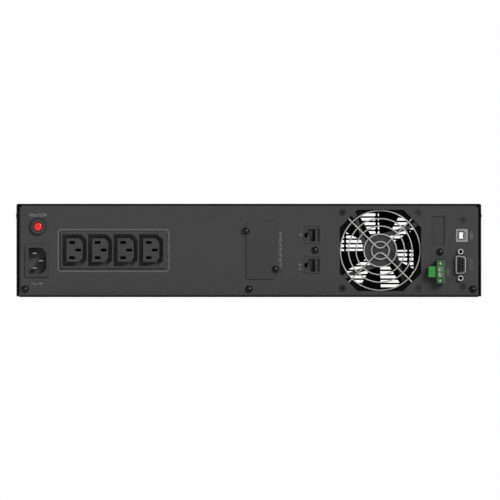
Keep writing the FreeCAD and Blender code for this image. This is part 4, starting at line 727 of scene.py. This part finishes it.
def draw_usb(ink, x, z):
    """Small port outline between two ticks."""
    ink.stroke(rounded(x - 1.1, x + 1.1, z - 1.9, z + 1.9, 0.4, steps=3), 0.5, closed=True)
    ink.stroke([(x, z - 0.9), (x, z + 0.9)], 0.5)
    for dz in (-3.6, 3.6):
        ink.tick(x, z + dz, 1.8, 0.5)


def draw_serial(ink, x, z):
    """A row of five dots beside a row of four."""
    for dx, count in ((0.75, 5), (-0.75, 4)):
        for i in range(count):
            ink.patch(arc(x + dx, z + (i - (count - 1) / 2) * 2.4, 0.5, 0, 330, steps=11))


add_output_border()
pictograms = Ink(*PRINT_SPAN)
draw_breaker(pictograms, BREAKER_X, BREAKER_Z + 10.3)
draw_inlet(pictograms, centre("inlet_body")[0], 12.7)
draw_outlets(pictograms, BORDER_LOW_X, BORDER_Z)
draw_slot_scale(pictograms, x=-29.9, top=60.8)
draw_network(pictograms, x=-48.5)
draw_emergency_off(pictograms, x=-187.8, z=23.8)
draw_usb(pictograms, x=-209.6, z=57.8)
draw_serial(pictograms, x=-209.6, z=31.0)
attach(pictograms.make("panel_pictogram_print", "print_mark"))

# ------------------------------------------------------------------ fan motor leads
LEAD_R = 0.62
LEAD_Y = FAN_BACK - 2.75 + LEAD_R           # just clear of the arm, under the guard
# radius and angle (degrees) about the fan axis, y from LEAD_Y, share of the lead's side offset
LEAD_PATH = (
    (11.0, 194.0, 0.0, 1.0), (16.0, 206.0, 0.0, 1.0), (22.0, 219.0, 0.1, 1.0),
    (30.0, 227.5, 0.0, 1.0), (35.5, 231.5, -0.8, 1.0), (37.4, 232.5, -3.2, 0.9),
)


def smooth_path(points, steps=6):
    """Catmull-Rom curve through the points."""
    path = []
    last = len(points) - 1
    for i in range(last):
        a, b, c, d = points[max(i - 1, 0)], points[i], points[i + 1], points[min(i + 2, last)]
        for j in range(steps):
            t = j / steps
            path.append(0.5 * ((2 * b) + (c - a) * t + (2 * a - 5 * b + 4 * c - d) * t * t
                               + (3 * b - a - 3 * c + d) * t ** 3))
    return path + [points[-1]]


def add_lead(name, offset, sides=10):
    """Round lead along LEAD_PATH, moved sideways by offset, with closed ends."""
    points = []
    for radius, degrees, dy, share in LEAD_PATH:
        a = math.radians(degrees)
        side = offset * share
        points.append(Vector((FAN_X + radius * math.cos(a) - side * math.sin(a), LEAD_Y + dy,
                              FAN_Z + radius * math.sin(a) + side * math.cos(a))))
    path = smooth_path(points)
    last = len(path) - 1
    verts, faces = [], []
    for i, point in enumerate(path):
        along = (path[min(i + 1, last)] - path[max(i - 1, 0)]).normalized()
        across = along.cross(Vector((0, 1, 0))).normalized()
        third = along.cross(across).normalized()
        for k in range(sides):
            a = 2 * math.pi * k / sides
            verts.append(point + (across * math.cos(a) + third * math.sin(a)) * LEAD_R)
    for i in range(last):
        b = i * sides
        for k in range(sides):
            q = (k + 1) % sides
            faces.append([b + k, b + q, b + sides + q, b + sides + k])
    faces.append(list(reversed(range(sides))))
    faces.append([last * sides + k for k in range(sides)])
    attach(mesh_object(name, verts, faces, "fan_lead", smooth=True))


for i, offset in enumerate((-1.75, -0.1, 1.6)):
    add_lead("fan_lead_%d" % (i + 1), offset)

# ------------------------------------------------------------------ front display
BEZEL_Y = mm_box("control_bezel")[0].y      # outer face of the bezel
lens_low, lens_high = mm_box("display_lens")
FILM_X0, FILM_X1 = lens_low.x + 8.0, lens_high.x - 8.0
FILM_Z0, FILM_Z1 = lens_low.z + 7.0, lens_high.z - 7.0


def draw_digit(ink, x, z, lit):
    """Seven-bar figure; x is its left side as seen from the front, z its foot."""
    w, h, gap = 5.0, 10.0, 0.6
    bars = {
        "a": [(x + gap, z + h), (x + w - gap, z + h)],
        "g": [(x + gap, z + h / 2), (x + w - gap, z + h / 2)],
        "d": [(x + gap, z), (x + w - gap, z)],
        "f": [(x, z + h / 2 + gap), (x, z + h - gap)],
        "b": [(x + w, z + h / 2 + gap), (x + w, z + h - gap)],
        "e": [(x, z + gap), (x, z + h / 2 - gap)],
        "c": [(x + w, z + gap), (x + w, z + h / 2 - gap)],
    }
    for bar in lit:
        ink.stroke(bars[bar], 1.0)


def add_display():
    """Lit film behind the lens, and in front of it three figures, two bar gauges and a wave."""
    film = Ink(BEZEL_Y + 2.88, BEZEL_Y + 2.96)
    film.patch(rounded(FILM_X0, FILM_X1, FILM_Z0, FILM_Z1, 0.8, steps=4))
    attach(film.make("display_film", "lcd_film"))

    ink = Ink(BEZEL_Y + 2.78, BEZEL_Y + 2.86)
    foot = (FILM_Z0 + FILM_Z1) / 2 - 4.0
    for i, lit in enumerate(("abged", "abgcd", "abcdef")):
        draw_digit(ink, FILM_X0 + 22 + 8 * i, foot, lit)
    for i in range(5):
        z = FILM_Z0 + 4.0 + 4.4 * i
        ink.stroke([(FILM_X0 + 5.0, z), (FILM_X0 + 12.0, z)], 2.6)
        if i < 3:
            ink.stroke([(FILM_X1 - 12.0, z), (FILM_X1 - 5.0, z)], 2.6)
    for x0, x1 in ((FILM_X0 + 3.4, FILM_X0 + 13.6), (FILM_X1 - 13.6, FILM_X1 - 3.4)):
        frame_path = rounded(x0, x1, FILM_Z0 + 1.8, FILM_Z1 - 1.6, 1.0, steps=4)
        ink.stroke(frame_path, 0.5, closed=True)
    ink.stroke([(FILM_X0 + 20 + 1.3 * i, FILM_Z0 + 3.2 + 1.1 * math.sin(i * math.pi / 4))
                for i in range(20)], 0.6)
    attach(ink.make("display_segments", "lcd_segments"))


def add_indicator(name, x, z, finish, r=1.5, bulge=0.55, skirt=0.6, rings=6, n=24):
    """Low domed lens on the bezel, bulging towards -Y, with a skirt sunk into the face."""
    def circle(radius, y):
        angles = [2 * math.pi * i / n for i in range(n)]
        return [(x + radius * math.cos(a), y, z + radius * math.sin(a)) for a in angles]

    verts, faces = [], []
    for j in range(rings):
        a = math.pi / 2 * j / rings
        verts += circle(r * math.cos(a), BEZEL_Y - bulge * math.sin(a))
    tip = len(verts)
    verts.append((x, BEZEL_Y - bulge, z))
    base = len(verts)
    verts += circle(r, BEZEL_Y + skirt)
    for j in range(rings - 1):
        for i in range(n):
            k = (i + 1) % n
            faces.append([j * n + i, j * n + k, (j + 1) * n + k, (j + 1) * n + i])
    for i in range(n):
        k = (i + 1) % n
        faces.append([(rings - 1) * n + i, (rings - 1) * n + k, tip])
        faces.append([base + i, base + k, k, i])
    faces.append([base + i for i in reversed(range(n))])
    obj = mesh_object(name, verts, faces, finish, smooth=True)
    face_outward(obj)
    attach(obj)


add_display()
for i in range(4):
    add_indicator("indicator_lens_%d" % (i + 1), x=-50.0 + 9.0 * i, z=29.6,
                  finish="led_green" if i == 0 else "led_off")


# ------------------------------------------------------------------ key legends
def power_mark(ink, x, z):
    ink.stroke(arc(x, z - 0.2, 2.9, 125, 415, steps=26), 0.75)
    ink.stroke([(x, z + 0.6), (x, z + 3.5)], 0.75)


def down_mark(ink, x, z):
    ink.patch([(x - 1.7, z + 1.0), (x, z - 1.5), (x + 1.7, z + 1.0)])


def enter_mark(ink, x, z):
    ink.stroke([(x + 2.0, z + 1.2), (x + 2.0, z - 0.6), (x - 1.8, z - 0.6)], 0.6)
    ink.patch([(x - 1.2, z + 0.6), (x - 2.7, z - 0.6), (x - 1.2, z - 1.8)])


def up_mark(ink, x, z):
    ink.patch([(x - 1.7, z - 1.0), (x + 1.7, z - 1.0), (x, z + 1.5)])


# key, moving body, legend's name, its drawing
KEY_LEGENDS = (
    ("power_button", "power_key", "power_key_legend", power_mark),
    ("scroll_down_button", "scroll_down_key", "scroll_down_button_legend", down_mark),
    ("enter_button", "enter_key", "enter_button_legend", enter_mark),
    ("scroll_up_button", "scroll_up_key", "scroll_up_button_legend", up_mark),
)
for node, body, name, draw in KEY_LEGENDS:
    key_front = mm_box(node)[0].y
    legend = Ink(key_front + 0.03, key_front - 0.05)
    draw(legend, *centre(node))
    attach(legend.make(name, "key_legend"), body)

# ------------------------------------------------------------------ stage, light, camera
WHITE = (1, 1, 1, 1)


def add_world():
    """White backdrop to the camera, dimmer as a light."""
    world = bpy.data.worlds.new("studio")
    bpy.context.scene.world = world
    g = Graph(world, "ShaderNodeOutputWorld")
    ambient, backdrop = [
        g.node("ShaderNodeBackground", {"Color": WHITE, "Strength": strength}).outputs[0]
        for strength in (0.36, 1.0)]
    seen = g.node("ShaderNodeLightPath").outputs["Is Camera Ray"]
    g.surface(g.node("ShaderNodeMixShader", {0: seen, 1: ambient, 2: backdrop}))


def floor_material():
    """Pale floor, fading to the backdrop's white far from the unit and at grazing views."""
    g = new_material("floor")
    place = g.axes(g.coords)
    radius = g.calc("SQRT", g.calc("ADD", g.calc("MULTIPLY", place[0], place[0]),
                                   g.calc("MULTIPLY", place[1], place[1])))
    fade = g.ramp(radius, start=0.45, end=1.6)
    dark, light = (0.76, 0.76, 0.76, 1), (0.79, 0.79, 0.79, 1)
    tint = g.mix(g.ramp(g.noise(scale=3.0, detail=4.0)), dark, light)
    diffuse = g.node("ShaderNodeBsdfDiffuse", {"Color": tint})
    glow = g.node("ShaderNodeEmission", {"Color": WHITE, "Strength": 1.0})
    seen = g.node("ShaderNodeLightPath").outputs["Is Camera Ray"]
    view = g.axes(g.node("ShaderNodeNewGeometry").outputs["Incoming"])
    grazing = g.ramp(g.calc("ABSOLUTE", view[2]), start=0.03, end=0.015)
    fade = g.calc("MAXIMUM", fade, grazing)
    g.surface(g.node("ShaderNodeMixShader", {
        0: g.calc("MULTIPLY", fade, seen), 1: diffuse.outputs[0], 2: glow.outputs[0]}))


def add_floor():
    floor_material()
    bm = bmesh.new()
    bmesh.ops.create_grid(bm, x_segments=8, y_segments=8, size=60.0)
    mesh = bpy.data.meshes.new("floor")
    bm.to_mesh(mesh)
    bm.free()
    floor = bpy.data.objects.new("floor", mesh)
    bpy.context.scene.collection.objects.link(floor)
    floor.location.z = CAD_LO.z - 0.0003
    mesh.materials.append(MATERIALS["floor"])


def aim(obj, direction):
    obj.rotation_mode = "QUATERNION"
    obj.rotation_quaternion = direction.to_track_quat("-Z", "Y")


def add_sun(name, toward, energy, spread):
    """Broad distant light; toward points from the unit to it, spread is in degrees."""
    light = bpy.data.lights.new(name, "SUN")
    light.energy = energy
    light.angle = math.radians(spread)
    obj = bpy.data.objects.new(name, light)
    bpy.context.scene.collection.objects.link(obj)
    direction = Vector(toward).normalized()
    obj.location = direction * 4.0
    aim(obj, -direction)


def add_camera(distance=5.3, view_width=0.4711, sensor=36.0):
    """Long lens square on to the rear panel; view_width is what it takes in there, metres."""
    data = bpy.data.cameras.new("camera")
    camera = bpy.data.objects.new("camera", data)
    bpy.context.scene.collection.objects.link(camera)
    data.sensor_width = sensor
    data.lens = sensor * distance / view_width
    data.clip_start, data.clip_end = 0.1, 100.0
    camera.location = (-0.0011, PRINT_Y * MM + distance, 0.0444)
    aim(camera, Vector((0, -1, 0)))
    bpy.context.scene.camera = camera


add_world()
add_floor()
add_sun("key_rear", toward=(-0.55, 1.0, 0.55), energy=2.3, spread=28.0)
add_sun("key_front", toward=(0.6, -1.0, 1.3), energy=2.0, spread=50.0)
add_camera()
view = bpy.context.scene.view_settings
view.view_transform = "Standard"
view.look = "None"
view.exposure = 0.0
view.gamma = 1.0
